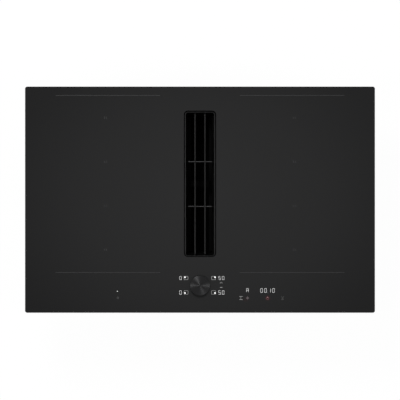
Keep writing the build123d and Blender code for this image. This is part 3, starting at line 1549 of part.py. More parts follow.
def blower_rotor():
    """Motor's outer rotor: a cup with magnets and a hub tube for the bearings."""
    cup = round_ring(ROTOR_R, ROTOR_R - ROTOR_WALL, WHEEL_LOW, ROTOR_TOP, SCROLL_X, SCROLL_Y)
    lid = disc(ROTOR_R, ROTOR_TOP - ROTOR_WALL, ROTOR_TOP, SCROLL_X, SCROLL_Y)
    magnets = round_ring(
        ROTOR_R - ROTOR_WALL / 2,
        ROTOR_R - ROTOR_WALL - ROTOR_MAGNET_T,
        WHEEL_LOW + ROTOR_WALL,
        WHEEL_LOW + STATOR_H,
        SCROLL_X,
        SCROLL_Y,
    )
    hub = round_ring(
        BEARING_R + HUB_WALL, BEARING_R, BEARING_LOW, ROTOR_TOP - ROTOR_WALL / 2,
        SCROLL_X, SCROLL_Y,
    )
    return joined([cup, lid, magnets, hub])


def blower_bearings():
    """Two bearings in the rotor's hub, running on the fixed shaft."""
    inner = SHAFT_R + RUNNING_FIT
    return group(
        [
            round_ring(BEARING_R, inner, BEARING_LOW, BEARING_LOW + BEARING_W,
                       SCROLL_X, SCROLL_Y),
            round_ring(BEARING_R, inner, BEARING_HIGH - BEARING_W, BEARING_HIGH,
                       SCROLL_X, SCROLL_Y),
        ]
    )


def wheel_blade(number):
    """One backward-curved blade, trailing a wheel that turns anticlockwise from above."""
    start = number * 360 / WHEEL_BLADES
    radii = [WHEEL_BLADE_IN_R, (WHEEL_BLADE_IN_R + WHEEL_R) / 2, WHEEL_R]
    sweeps = [0, -WHEEL_HALF_SWEEP, -WHEEL_SWEEP]
    near = [polar(r, start + sweep) for r, sweep in zip(radii, sweeps)]
    far = [
        polar(r, start + sweep + math.degrees(WHEEL_BLADE_T / r))
        for r, sweep in zip(radii, sweeps)
    ]
    face = make_face(
        [
            ThreePointArc(*near),
            Line(near[2], far[2]),
            ThreePointArc(*reversed(far)),
            Line(far[0], near[0]),
        ]
    )
    low, high = WHEEL_LOW + WHEEL_DISC_T / 2, WHEEL_TOP - WHEEL_DISC_T / 2
    return Pos(SCROLL_X, SCROLL_Y, low) * extrude(face, high - low)


def blower_wheel():
    """Centrifugal wheel: back disc, hub sleeve, curved blades and inlet ring."""
    back = round_ring(
        WHEEL_R, ROTOR_R, WHEEL_LOW, WHEEL_LOW + WHEEL_DISC_T, SCROLL_X, SCROLL_Y
    )
    sleeve = round_ring(
        ROTOR_R + WHEEL_DISC_T, ROTOR_R, WHEEL_LOW, WHEEL_LOW + WHEEL_SLEEVE_H,
        SCROLL_X, SCROLL_Y,
    )
    inlet = round_ring(
        WHEEL_R, WHEEL_INLET_R, WHEEL_TOP - WHEEL_DISC_T, WHEEL_TOP, SCROLL_X, SCROLL_Y
    )
    return joined([back, sleeve, inlet] + [wheel_blade(i) for i in range(WHEEL_BLADES)])


# ---------------------------------------------------------------- mains connection


def terminal_screw_places():
    """Screws that hold the terminal box under the casing."""
    dx, dy = TERMINAL_W / 2 - TERMINAL_INSET, TERMINAL_D / 2 - TERMINAL_INSET
    return [(TERMINAL_X - dx, TERMINAL_Y - dy), (TERMINAL_X + dx, TERMINAL_Y + dy)]


def terminal_box():
    """Box for the mains terminals, with a cable gland at the back."""
    low = TERMINAL_LOW
    box = prism(
        TERMINAL_W, TERMINAL_D, low, CASE_UNDER, TERMINAL_R, TERMINAL_X, TERMINAL_Y
    )
    box = box - prism(
        TERMINAL_W - 2 * TERMINAL_WALL,
        TERMINAL_D - 2 * TERMINAL_WALL,
        low - THROUGH,
        CASE_UNDER - TERMINAL_WALL,
        TERMINAL_R - TERMINAL_WALL,
        TERMINAL_X,
        TERMINAL_Y,
    )
    back = TERMINAL_Y + TERMINAL_D / 2
    gland_y = back + (GLAND_REACH - TERMINAL_WALL) / 2
    at_gland = Pos(TERMINAL_X, gland_y, CABLE_Z) * Rot(90, 0, 0)
    gland = at_gland * Cylinder(GLAND_R, GLAND_REACH + TERMINAL_WALL)
    bore = at_gland * Cylinder(CABLE_R, GLAND_REACH + TERMINAL_WALL + 2 * THROUGH)
    posts = [
        disc(TERMINAL_POST_R, low, CASE_UNDER - TERMINAL_WALL / 2, x, y)
        for x, y in cover_corner_places()
    ]
    box = joined([box, gland, *posts])
    roof_low = CASE_UNDER - TERMINAL_WALL
    wires = disc(WIRE_R, roof_low - THROUGH, CASE_UNDER + THROUGH, TERMINAL_X, WIRE_Y)
    cuts = [bore, wires]
    cuts += screw_cuts(
        terminal_screw_places(), CASE_UNDER - TERMINAL_WALL - THROUGH, CASE_UNDER + THROUGH
    )
    cuts += screw_cuts(cover_corner_places(), low - THROUGH, low + COVER_SCREW_BITE + THROUGH)
    return box.cut(*cuts)


def cover_corner_places():
    """Screws that hold the terminal box's cover."""
    dx, dy = TERMINAL_W / 2 - TERMINAL_INSET, TERMINAL_D / 2 - TERMINAL_INSET
    return [(TERMINAL_X - dx, TERMINAL_Y + dy), (TERMINAL_X + dx, TERMINAL_Y - dy)]


def terminal_cover():
    """Lid over the terminal box's underside."""
    cover = prism(
        TERMINAL_W,
        TERMINAL_D,
        TERMINAL_LOW - TERMINAL_WALL,
        TERMINAL_LOW,
        TERMINAL_R,
        TERMINAL_X,
        TERMINAL_Y,
    )
    return cover.cut(
        *screw_cuts(
            cover_corner_places(), TERMINAL_LOW - TERMINAL_WALL - THROUGH, TERMINAL_LOW + THROUGH
        )
    )


def terminal_fittings():
    """Mains terminal strip on the box's roof, and the saddle that clamps the cable."""
    high = CASE_UNDER - TERMINAL_WALL
    y = TERMINAL_Y + POLE_SETBACK
    strip = prism(POLES * POLE_PITCH, POLE_D, high - POLE_H, high, 1.0, TERMINAL_X, y)
    for i in range(POLES):
        x = TERMINAL_X + (i - (POLES - 1) / 2) * POLE_PITCH
        strip = strip - disc(POLE_R, high - POLE_H - THROUGH, high - POLE_H / 2, x, y)
    back = TERMINAL_Y + TERMINAL_D / 2 - TERMINAL_WALL
    saddle = block(
        TERMINAL_X - SADDLE_W / 2,
        TERMINAL_X + SADDLE_W / 2,
        back - SADDLE_D,
        back,
        TERMINAL_LOW,
        CABLE_Z - CABLE_R,
    )
    return group([strip, saddle])


# ---------------------------------------------------------------- fasteners


def casing_screws():
    """Screws under the casing: housing lugs, terminal box and leaf springs."""
    screws = [
        upright_screw(x, y, HOUSING_TOP - LUG_T, LUG_T + SCREW_BITE) for x, y in lug_places()
    ]
    for x, y in terminal_screw_places():
        screws.append(
            upright_screw(x, y, CASE_UNDER - TERMINAL_WALL, TERMINAL_WALL + SCREW_BITE)
        )
    for x, y in cover_corner_places():
        length = TERMINAL_WALL + COVER_SCREW_BITE
        screws.append(upright_screw(x, y, TERMINAL_LOW - TERMINAL_WALL, length))
    for side, y in spring_places():
        x = side * (CASE_W / 2 + SPRING_T)
        z = SPRING_TOP - SPRING_TAB / 2
        screws.append(side_screw(x, y, z, side, SPRING_T + SCREW_BITE))
    return group(screws)


def housing_screws():
    """Screws of the vent housing: shell flanges, scroll cover and motor."""
    length = 2 * HOUSING_FLANGE_T + SCREW_BITE
    screws = [
        upright_screw(x, y, HOUSING_SPLIT - HOUSING_FLANGE_T, length)
        for x, y in flange_screw_places()
    ]
    for x, y in cover_screw_places():
        top = SCROLL_TOP + SCROLL_COVER_T
        head = disc(SCREW_HEAD_R, top, top + SCREW_HEAD_T, x, y)
        screws.append(head + disc(SCREW_R, top - COVER_SCREW_BITE, top, x, y))
    for x, y in motor_places():
        head = disc(SCREW_HEAD_R, MOTOR_FLANGE_TOP, MOTOR_FLANGE_TOP + MOTOR_HEAD_T, x, y)
        screws.append(head + disc(MOTOR_STUD_R, HOUSING_FLOOR, MOTOR_FLANGE_TOP, x, y))
    return group(screws)


save("glass_plate", glass_plate())
save("perimeter_seal", perimeter_seal())
save("inlet_seal", inlet_seal())
save("inlet_chimney", inlet_chimney())
save("filter_basket", filter_basket())
save("inlet_grille", inlet_grille())
save("knob_foot", knob_foot())
save("knob_pivot", knob_pivot())
save("knob_base", knob_base())
save("knob_magnets", knob_magnets())
save("knob_cap", knob_cap())
save("casing_tray", casing_tray())
save("worktop_springs", group([spring_leaf(side, y) for side, y in spring_places()]))
save("coil_formers", coil_formers())
save("coil_ferrites", coil_ferrites())
save("pan_sensors", pan_sensors())
save("insulation_mats", insulation_mats())
save("support_posts", support_posts())
for side in (LEFT, RIGHT):
    name = side_name(side)
    save(f"grease_filter_{name}", grease_cassette(side))
    save(f"coil_plate_{name}", coil_plate(side))
    save(f"inverter_board_{name}", inverter_board(side))
    save(f"heatsink_{name}", heatsink(side))
    save(f"power_components_{name}", power_components(side))
    save(f"cooling_fan_frame_{name}", cooling_fan_frame(side))
    save(f"cooling_fan_rotor_{name}", cooling_fan_rotor(side))
    for number in range(COIL_COUNT):
        save(f"coil_winding_{name}_{number + 1}", coil_winding(side, number))
save("control_frame", control_frame())
save("display_modules", display_modules())
save("knob_dock", knob_dock())
save("control_board", control_board())
save("control_carrier", control_carrier())
save("vent_housing_upper", vent_housing_upper())
save("vent_housing_lower", vent_housing_lower())
save("scroll_cover", scroll_cover())
save("outlet_spigot", outlet_spigot())
save("overflow_tank", overflow_tank())
save("blower_motor_base", blower_motor_base())
save("blower_bushes", blower_bushes())
save("blower_rotor", blower_rotor())
save("blower_bearings", blower_bearings())
save("blower_wheel", blower_wheel())
save("terminal_box", terminal_box())
save("terminal_cover", terminal_cover())
save("terminal_fittings", terminal_fittings())
save("casing_screws", casing_screws())
save("housing_screws", housing_screws())
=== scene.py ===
import math

import bpy
import numpy as np
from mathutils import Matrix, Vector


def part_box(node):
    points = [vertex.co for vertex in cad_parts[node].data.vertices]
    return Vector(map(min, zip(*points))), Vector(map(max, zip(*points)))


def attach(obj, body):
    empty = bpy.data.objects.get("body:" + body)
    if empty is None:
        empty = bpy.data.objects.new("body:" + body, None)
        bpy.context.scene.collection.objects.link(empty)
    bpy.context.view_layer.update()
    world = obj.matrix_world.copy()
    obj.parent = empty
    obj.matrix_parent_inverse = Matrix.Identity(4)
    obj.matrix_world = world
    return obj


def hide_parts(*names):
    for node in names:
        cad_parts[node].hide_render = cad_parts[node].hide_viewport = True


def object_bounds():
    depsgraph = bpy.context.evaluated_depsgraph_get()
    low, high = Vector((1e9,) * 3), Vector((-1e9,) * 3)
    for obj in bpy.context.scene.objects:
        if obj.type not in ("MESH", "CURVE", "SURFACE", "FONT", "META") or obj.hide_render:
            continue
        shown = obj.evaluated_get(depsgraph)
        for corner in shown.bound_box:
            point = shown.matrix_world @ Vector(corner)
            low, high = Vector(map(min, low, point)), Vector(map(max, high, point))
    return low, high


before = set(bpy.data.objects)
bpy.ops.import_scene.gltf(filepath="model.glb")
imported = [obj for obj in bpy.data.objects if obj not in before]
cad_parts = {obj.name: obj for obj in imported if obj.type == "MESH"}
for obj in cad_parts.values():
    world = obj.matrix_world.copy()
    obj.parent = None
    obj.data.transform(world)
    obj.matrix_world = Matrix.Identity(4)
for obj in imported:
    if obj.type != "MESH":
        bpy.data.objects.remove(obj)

# Downdraft induction cooktop, dressed for its picture. The object's and the camera's sizes
# are in millimetres and become metres when something is made. The lamps, the floor and the
# finishes' own sizes are in metres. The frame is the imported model's: X to the user's right,
# Y to the back, Z up, and the origin in the middle of the seat on the worktop.

cad_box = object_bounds()
MM = 0.001


def box_mm(node):
    """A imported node's lowest and highest corner, in millimetres."""
    low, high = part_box(node)
    return np.array(low) / MM, np.array(high) / MM


GLASS_LOW, GLASS_HIGH = box_mm("glass_plate")
GRILLE_LOW, GRILLE_HIGH = box_mm("inlet_grille")
CAP_LOW, CAP_HIGH = box_mm("knob_cap")
GLASS_TOP = GLASS_HIGH[2]
VENT_Y = (GRILLE_LOW[1] + GRILLE_HIGH[1]) / 2
KNOB_Y = (CAP_LOW[1] + CAP_HIGH[1]) / 2

# ------------------------------------------------------------------ meshes from arrays


def piece(name, vertices, faces, finish, body, sharp=35.0, marks=None, flat=None):
    """A mesh from an array of points and arrays of faces, riding on a body.

    finish is a material, or several; marks then gives each face's number among them. An edge
    stays hard where it turns by more than sharp, in degrees. flat picks out the faces that
    keep one normal all over."""
    mesh = bpy.data.meshes.new(name)
    rows = [row for block in faces for row in np.asarray(block).tolist()]
    mesh.from_pydata((np.asarray(vertices, float) * MM).tolist(), [], rows)
    for material in finish if isinstance(finish, (list, tuple)) else [finish]:
        mesh.materials.append(material)
    if marks is not None:
        mesh.polygons.foreach_set("material_index", np.asarray(marks, np.int32))
    mesh.set_sharp_from_angle(angle=math.radians(sharp))
    if flat is not None:
        mesh.polygons.foreach_set("use_smooth", ~np.asarray(flat))
    mesh.update()
    made = bpy.data.objects.new(name, mesh)
    bpy.context.scene.collection.objects.link(made)
    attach(made, body)
    return made


def joined(parts):
    """Several (points, faces) pairs as one pair, each part's faces counted on from the last."""
    points, faces, start = [], [], 0
    for part_points, part_faces in parts:
        points.append(np.asarray(part_points, float).reshape(-1, 3))
        faces += [np.asarray(block) + start for block in part_faces]
        start += len(points[-1])
    return np.concatenate(points), faces


def tube_faces(rows, columns, close_rows=True, close_columns=True):
    """Quads of a grid of points, where rows and columns may each run back to their start."""
    index = np.arange(rows * columns).reshape(rows, columns)
    index = np.vstack([index, index[:1]]) if close_rows else index
    index = np.hstack([index, index[:, :1]]) if close_columns else index
    corners = (index[:-1, :-1], index[:-1, 1:], index[1:, 1:], index[1:, :-1])
    return np.stack(corners, -1).reshape(-1, 4)


def rounded_loop(width, length, radius, steps, x=0.0, y=0.0):
    """A rounded rectangle's points and outward normals, anticlockwise.

    Each corner is an arc: its middle plus the radius times (cos a, sin a), with a running
    a quarter turn, and the normal is that same (cos a, sin a)."""
    quarter = np.linspace(0, np.pi / 2, steps + 1)
    angle = (quarter[None] + np.arange(4)[:, None] * np.pi / 2).ravel()
    normal = np.stack([np.cos(angle), np.sin(angle)], -1)
    sign = np.repeat([[1, 1], [-1, 1], [-1, -1], [1, -1]], steps + 1, axis=0)
    middle = sign * [width / 2 - radius, length / 2 - radius]
    return middle + radius * normal + [x, y], normal


def swept(loop, normal, profile):
    """A closed profile carried round a loop: point + normal times u, at the height v."""
    u, v = np.asarray(profile, float).T
    flat = loop[None] + normal[None] * u[:, None, None]
    height = np.broadcast_to(v[:, None, None], (*flat.shape[:2], 1))
    points = np.concatenate([flat, height], -1)
    return points.reshape(-1, 3), [tube_faces(len(u), len(loop))]


def turned(profile, x, y, steps):
    """A profile of (radius, height) from axis to axis, turned round an upright axis.

    The point at angle a is (x + radius cos a, y + radius sin a, height). The first and the
    last point lie on the axis and are one point each, so both poles are closed."""
    radius, height = np.asarray(profile, float).T
    angle = np.arange(steps) * 2 * np.pi / steps
    ring = np.stack(
        [
            x + radius[1:-1, None] * np.cos(angle),
            y + radius[1:-1, None] * np.sin(angle),
            np.broadcast_to(height[1:-1, None], (len(radius) - 2, steps)),
        ],
        -1,
    ).reshape(-1, 3)
    poles = [[x, y, height[0]], [x, y, height[-1]]]
    rows, last = len(radius) - 2, len(ring)
    around = np.arange(steps)
    after = np.roll(around, -1)
    start = np.stack([np.full(steps, last), around, after], -1)
    base = (rows - 1) * steps
    end = np.stack([np.full(steps, last + 1), base + after, base + around], -1)
    side = tube_faces(rows, steps, close_rows=False)[:, ::-1]
    return np.concatenate([ring, poles]), [side, start, end]


def slabs(outlines, low, high):
    """Thin closed plates: each flat outline at two heights, joined by a wall round it."""
    outlines = np.asarray(outlines, float)
    count, corners = outlines.shape[:2]
    heights = np.broadcast_to(np.array([low, high])[None, :, None, None], (count, 2, corners, 1))
    flat = np.broadcast_to(outlines[:, None], (count, 2, corners, 2))
    points = np.concatenate([flat, heights], -1).reshape(-1, 3)
    index = np.arange(count * 2 * corners).reshape(count, 2, corners)
    after = np.roll(index, -1, axis=2)
    wall = np.stack([index[:, 0], after[:, 0], after[:, 1], index[:, 1]], -1)
    return points, [index[:, 1], index[:, 0, ::-1], wall.reshape(-1, 4)]


def two_lines(outer, inner, low, high):
    """The points of a thin strip's four long edges: two flat lines, each at two heights."""
    levels = ((outer, low), (outer, high), (inner, high), (inner, low))
    return np.concatenate([np.column_stack([flat, np.full(len(flat), z)]) for flat, z in levels])


def loop_slab(outer, inner, low, high):
    """A thin closed ring between two outlines of equally many points, at two heights."""
    return two_lines(outer, inner, low, high), [tube_faces(4, len(outer))]


def band(outer, inner, low, high):
    """A thin closed strip between two open lines of equally many points, at two heights."""
    index = np.arange(4 * len(outer)).reshape(4, len(outer))
    walls = tube_faces(4, len(outer), close_columns=False)
    ends = [index[None, :, 0], index[None, ::-1, -1]]
    return two_lines(outer, inner, low, high), [walls, *ends]


END_STEPS = 5


def capsules(strokes, width):
    """Outlines of rounded strokes: half a circle round each stroke's end, then its start."""
    ends = np.asarray(strokes, float).reshape(-1, 2, 2)
    run = ends[:, 1] - ends[:, 0]
    heading = np.arctan2(run[:, 1], run[:, 0])
    half_turn = np.linspace(-np.pi / 2, np.pi / 2, END_STEPS + 1)
    angle = heading[:, None] + np.concatenate([half_turn, half_turn + np.pi])
    middle = ends[:, np.repeat([1, 0], END_STEPS + 1)]
    return middle + width / 2 * np.stack([np.cos(angle), np.sin(angle)], -1)


# ------------------------------------------------------------------ shader building


def wire(tree, node, sockets):
    """Sets a node's sockets: another node's output is linked, and a number is written in."""
    for key, value in sockets.items():
        socket = node.inputs[key]
        if isinstance(value, bpy.types.NodeSocket):
            tree.links.new(value, socket)
        else:
            socket.default_value = value
    return node


def add(tree, kind, sockets=None, **settings):
    """A new shader node with its settings and sockets."""
    node = tree.nodes.new("ShaderNode" + kind)
    for key, value in settings.items():
        setattr(node, key, value)
    return wire(tree, node, sockets or {})


def calc(tree, operation, first, second=0.0, third=0.0):
    """One step of arithmetic in a node tree."""
    return add(tree, "Math", {0: first, 1: second, 2: third}, operation=operation).outputs[0]


def between(tree, share, low, high):
    """A value that runs from low to high as share runs from 0 to 1."""
    return add(tree, "MapRange", {"Value": share, "To Min": low, "To Max": high}).outputs[0]


def around(tree, share, middle, swing):
    """A value that runs from one swing below the middle to one swing above it."""
    return between(tree, share, middle - swing, middle + swing)


def weighed(tree, wide, fine, wide_share):
    """A wide pattern times its share plus a fine one times the rest."""
    rest = calc(tree, "MULTIPLY", fine, 1 - wide_share)
    return calc(tree, "MULTIPLY_ADD", wide, wide_share, rest)


def mix_colours(tree, share, first, second):
    """A colour between two colours, by share."""
    node = add(tree, "Mix", data_type="RGBA")
    colour_sockets = [s for s in node.inputs if s.type == "RGBA"]
    for socket, value in zip(colour_sockets, (first, second)):
        if isinstance(value, bpy.types.NodeSocket):
            tree.links.new(value, socket)
        else:
            socket.default_value = (*value, 1.0)
    wire(tree, node, {0: share})
    return [s for s in node.outputs if s.type == "RGBA"][0]


def effect(name, inputs, outputs):
    """An empty shader group with number or vector inputs, and its two ends."""
    tree = bpy.data.node_groups.new(name, "ShaderNodeTree")
    for label, value in inputs.items():
        vector = isinstance(value, tuple)
        kind = "NodeSocketVector" if vector else "NodeSocketFloat"
        socket = tree.interface.new_socket(label, in_out="INPUT", socket_type=kind)
        socket.default_value = value
    for label in outputs:
        kind = "NodeSocketVector" if label == "Normal" else "NodeSocketFloat"
        tree.interface.new_socket(label, in_out="OUTPUT", socket_type=kind)
    given = tree.nodes.new("NodeGroupInput").outputs
    result = tree.nodes.new("NodeGroupOutput")
    return tree, given, result


def object_place(tree):
    """The point on the surface in the object's own coordinates, in metres."""
    return add(tree, "TexCoord").outputs["Object"]


def in_sight(tree):
    """1 for a ray of sight, straight or by way of a mirror or a clear body, and else 0: the
    largest of the three rays' marks."""
    ray = add(tree, "LightPath").outputs
    bent = calc(tree, "MAXIMUM", ray["Is Glossy Ray"], ray["Is Transmission Ray"])
    return calc(tree, "MAXIMUM", ray["Is Camera Ray"], bent)


# Each effect's wide noise: its scale as a share of the fine noise's, and its weight
GRAIN_WIDE = (0.04, 0.7)
DRAWN_WIDE = (0.1, 0.5)
TURNING_WIDE = (0.12, 0.6)


def grain_effect():
    """Fine moulded or cast grain: two sizes of noise added, as a height and as a shade."""
    tree, given, result = effect("Fine grain", {"Scale": 900.0}, ("Height", "Shade"))
    place = object_place(tree)
    fine = add(tree, "TexNoise", {"Vector": place, "Scale": given["Scale"], "Detail": 3.0})
    wide_scale = calc(tree, "MULTIPLY", given["Scale"], GRAIN_WIDE[0])
    wide = add(tree, "TexNoise", {"Vector": place, "Scale": wide_scale, "Detail": 2.0})
    wire(tree, result, {
        "Height": fine.outputs[0],
        "Shade": weighed(tree, wide.outputs[0], fine.outputs[0], GRAIN_WIDE[1]),
    })
    return tree


def drawn_effect():
    """Fine parallel lines, as on rolled or brushed metal: noise stretched along one way."""
    inputs = {"Stretch": (1.0, 1.0, 1.0), "Scale": 600.0}
    tree, given, result = effect("Drawn lines", inputs, ("Height", "Shade"))
    scaled = add(tree, "VectorMath", {0: object_place(tree), 1: given["Stretch"]},
                 operation="MULTIPLY").outputs[0]
    lines = add(tree, "TexNoise", {"Vector": scaled, "Scale": given["Scale"], "Detail": 4.0})
    wide_scale = calc(tree, "MULTIPLY", given["Scale"], DRAWN_WIDE[0])
    wide = add(tree, "TexNoise", {"Vector": scaled, "Scale": wide_scale, "Detail": 2.0})
    wire(tree, result, {
        "Height": lines.outputs[0],
        "Shade": weighed(tree, wide.outputs[0], lines.outputs[0], DRAWN_WIDE[1]),
    })
    return tree


def turning_effect():
    """Concentric tool marks about an upright axis: noise that depends on the radius alone."""
    inputs = {"Centre": (0.0, 0.0, 0.0), "Lines": 3000.0}
    tree, given, result = effect("Turning marks", inputs, ("Height", "Shade"))
    arm = add(tree, "VectorMath", {0: object_place(tree), 1: given["Centre"]},
              operation="SUBTRACT").outputs[0]
    flat_arm = add(tree, "VectorMath", {0: arm, 1: (1.0, 1.0, 0.0)}, operation="MULTIPLY")
    radius = add(tree, "VectorMath", {0: flat_arm.outputs[0]}, operation="LENGTH").outputs["Value"]
    fine = add(tree, "TexNoise", {"W": radius, "Scale": given["Lines"], "Detail": 2.0},
               noise_dimensions="1D")
    wide_lines = calc(tree, "MULTIPLY", given["Lines"], TURNING_WIDE[0])
    wide = add(tree, "TexNoise", {"W": radius, "Scale": wide_lines, "Detail": 1.0},
               noise_dimensions="1D")
    wire(tree, result, {
        "Height": fine.outputs[0],
        "Shade": weighed(tree, wide.outputs[0], fine.outputs[0], TURNING_WIDE[1]),
    })
    return tree


def soft_edge_effect():
    """Rounds hard edges to the light, and marks them: 1 where the rounded normal leaves the
    flat one, broken up by noise, as handling polishes an edge unevenly."""
    inputs = {"Radius": 0.0006, "Patch": 120.0}
    tree, given, result = effect("Soft edge", inputs, ("Normal", "Edge"))
    rounded = add(tree, "Bevel", {"Radius": given["Radius"]}, samples=4).outputs[0]
    flat = add(tree, "NewGeometry").outputs["Normal"]
    match = add(tree, "VectorMath", {0: rounded, 1: flat}, operation="DOT_PRODUCT")
    turn = add(tree, "MapRange", {"Value": match.outputs["Value"], "From Min": 0.995,
                                  "From Max": 0.85})
    patch = add(tree, "TexNoise", {"Vector": object_place(tree), "Scale": given["Patch"],
                                   "Detail": 3.0}).outputs[0]
    broken = add(tree, "MapRange", {"Value": patch, "From Min": 0.35, "From Max": 0.65})
    wire(tree, result, {
        "Normal": rounded,
        "Edge": calc(tree, "MULTIPLY", turn.outputs[0], broken.outputs[0]),
    })
    return tree


def smudge_effect():
    """Slow patches, as where a surface was wiped or touched: a share from 0 to 1."""
    tree, given, result = effect("Smudges", {"Scale": 12.0}, ("Share",))
    noise = add(tree, "TexNoise", {"Vector": object_place(tree), "Scale": given["Scale"],
                                   "Detail": 4.0, "Roughness": 0.6, "Distortion": 0.6})
    wire(tree, result, {
        "Share": add(tree, "MapRange", {"Value": noise.outputs[0], "From Min": 0.35,
                                        "From Max": 0.65}).outputs[0],
    })
    return tree


GRAIN = grain_effect()
DRAWN = drawn_effect()
TURNING = turning_effect()
SOFT_EDGE = soft_edge_effect()
SMUDGES = smudge_effect()


def use(tree, group, **inputs):
    """A shader group placed in a material, with this material's values."""
    node = tree.nodes.new("ShaderNodeGroup")
    node.node_tree = group
    return wire(tree, node, inputs).outputs


def blank(name):
    """A new material: the material, its tree and its principled shader."""
    material = bpy.data.materials.new(name)
    material.use_nodes = True
    tree = material.node_tree
    return material, tree, tree.nodes["Principled BSDF"]


def bumped(tree, height, depth, strength, normal=None):
    """A bump of a depth in metres, over a normal if one is given."""
    sockets = {"Height": height, "Distance": depth, "Strength": strength}
    if normal is not None:
        sockets["Normal"] = normal
    return add(tree, "Bump", sockets).outputs[0]


# ------------------------------------------------------------------ finishes


# A rubbed edge: the light shade times the gain plus the lift, and how far it comes through
RUBBED_GAIN = 1.6
RUBBED_LIFT = 0.004
EDGE_WEAR = 0.6


def moulded(name, dark, light, roughness, grain=900.0, specular=0.5):
    """Moulded plastic: spark-eroded grain, slow patches in its gloss, softened edges that are
    rubbed lighter."""
    material, tree, shader = blank(name)
    fine = use(tree, GRAIN, Scale=grain)
    soft = use(tree, SOFT_EDGE, Radius=0.0005)
    patch = use(tree, SMUDGES, Scale=14.0)
    base = mix_colours(tree, fine["Shade"], dark, light)
    rubbed = tuple(min(1.0, c * RUBBED_GAIN + RUBBED_LIFT) for c in light)
    wear = calc(tree, "MULTIPLY", soft["Edge"], EDGE_WEAR)
    wire(tree, shader, {
        "Base Color": mix_colours(tree, wear, base, rubbed),
        "Roughness": around(tree, patch["Share"], roughness, 0.06),
        "Normal": bumped(tree, fine["Height"], 0.00004, 0.5, soft["Normal"]),
        "Specular IOR Level": specular,
    })
    return material


def metal(name, dark, light, roughness, scale, stretch=(1.0, 1.0, 1.0)):
    """Worked metal: drawn lines in its shade and height, patches in its gloss."""
    material, tree, shader = blank(name)
    lines = use(tree, DRAWN, Stretch=stretch, Scale=scale)
    soft = use(tree, SOFT_EDGE, Radius=0.0003)
    patch = use(tree, SMUDGES, Scale=9.0)
    wire(tree, shader, {
        "Base Color": mix_colours(tree, lines["Shade"], dark, light),
        "Metallic": 1.0,
        "Roughness": around(tree, patch["Share"], roughness, 0.07),
        "Normal": bumped(tree, lines["Height"], 0.00002, 0.4, soft["Normal"]),
    })
    return material


# How far noise moves the crystals' edges, in mm
CRYSTAL_WARP = 3.2


def galvanised(name):
    """Hot-dip galvanised sheet: zinc crystals a few millimetres wide, each at its own shade
    and feathered at its edges, because the place that picks the crystal is moved by noise."""
    material, tree, shader = blank(name)
    place = object_place(tree)
    warp = add(tree, "TexNoise", {"Vector": place, "Scale": 500.0, "Detail": 3.0})
    moved = add(tree, "VectorMath", {0: warp.outputs["Color"], 1: (CRYSTAL_WARP * MM,) * 3,
                                     2: place}, operation="MULTIPLY_ADD").outputs[0]
    crystal = add(tree, "TexVoronoi", {"Vector": moved, "Scale": 240.0})
    shade = add(tree, "SeparateColor", {0: crystal.outputs["Color"]}).outputs[0]
    fern = add(tree, "TexNoise", {"Vector": place, "Scale": 1400.0, "Detail": 3.0})
    tone = weighed(tree, shade, fern.outputs[0], 0.5)
    soft = use(tree, SOFT_EDGE, Radius=0.0004)
    patch = use(tree, SMUDGES, Scale=5.0)
    gloss = calc(tree, "MULTIPLY_ADD", shade, 0.1, between(tree, patch["Share"], 0.32, 0.42))
    wire(tree, shader, {
        "Base Color": mix_colours(tree, tone, (0.44, 0.45, 0.46), (0.64, 0.65, 0.66)),
        "Metallic": 1.0,
        "Roughness": gloss,
        "Normal": bumped(tree, tone, 0.00002, 0.35, soft["Normal"]),
    })
    return material


# Red light in the glass round the clock and the star: x, y, reach in mm, strength
GLOWS = ((153.1, -222.6, 8.5, 0.045), (103.5, -226.0, 9.0, 0.010))
GLASS_DARK = (0.0120, 0.0120, 0.0122)
GLASS_LIGHT = (0.0148, 0.0148, 0.0150)
GLOW_RED = (0.55, 0.012, 0.03)
UNLIT = (0.0, 0.0, 0.0)


def polished_glass():
    """Black glass-ceramic: a polished face with faint wiping patches, and a little red light
    that spreads in the glass round the signs that are lit red: each glow falls smoothly to
    nothing at its reach."""
    material, tree, shader = blank("Black glass-ceramic, polished")
    place = object_place(tree)
    patch = use(tree, SMUDGES, Scale=7.0)
    speck = add(tree, "TexNoise", {"Vector": place, "Scale": 2600.0, "Detail": 1.0}).outputs[0]
    glow = None
    for x, y, reach, level in GLOWS:
        centre = (x * MM, y * MM, GLASS_TOP * MM)
        far = add(tree, "VectorMath", {0: place, 1: centre}, operation="DISTANCE")
        near = add(tree, "MapRange", {"Value": far.outputs["Value"], "From Min": 0.0,
                                      "From Max": reach * MM, "To Min": level, "To Max": 0.0},
                   interpolation_type="SMOOTHSTEP").outputs[0]
        glow = near if glow is None else calc(tree, "ADD", glow, near)
    wire(tree, shader, {
        "Base Color": mix_colours(tree, speck, GLASS_DARK, GLASS_LIGHT),
        "Roughness": between(tree, patch["Share"], 0.025, 0.05),
        "Emission Color": mix_colours(tree, glow, UNLIT, GLOW_RED),
        "Emission Strength": 1.0,
    })
    return material


def ground_edge():
    """The plate's ground and sealed edge: duller than the face."""
    material, tree, shader = blank("Glass edge, ground and sealed")
    fine = use(tree, GRAIN, Scale=2400.0)
    dark, light = (0.0012, 0.0012, 0.0014), (0.003, 0.003, 0.0032)
    wire(tree, shader, {
        "Base Color": mix_colours(tree, fine["Shade"], dark, light),
        "Roughness": between(tree, fine["Height"], 0.5, 0.65),
        "Specular IOR Level": 0.12,
        "Normal": bumped(tree, fine["Height"], 0.00001, 0.3),
    })
    return material


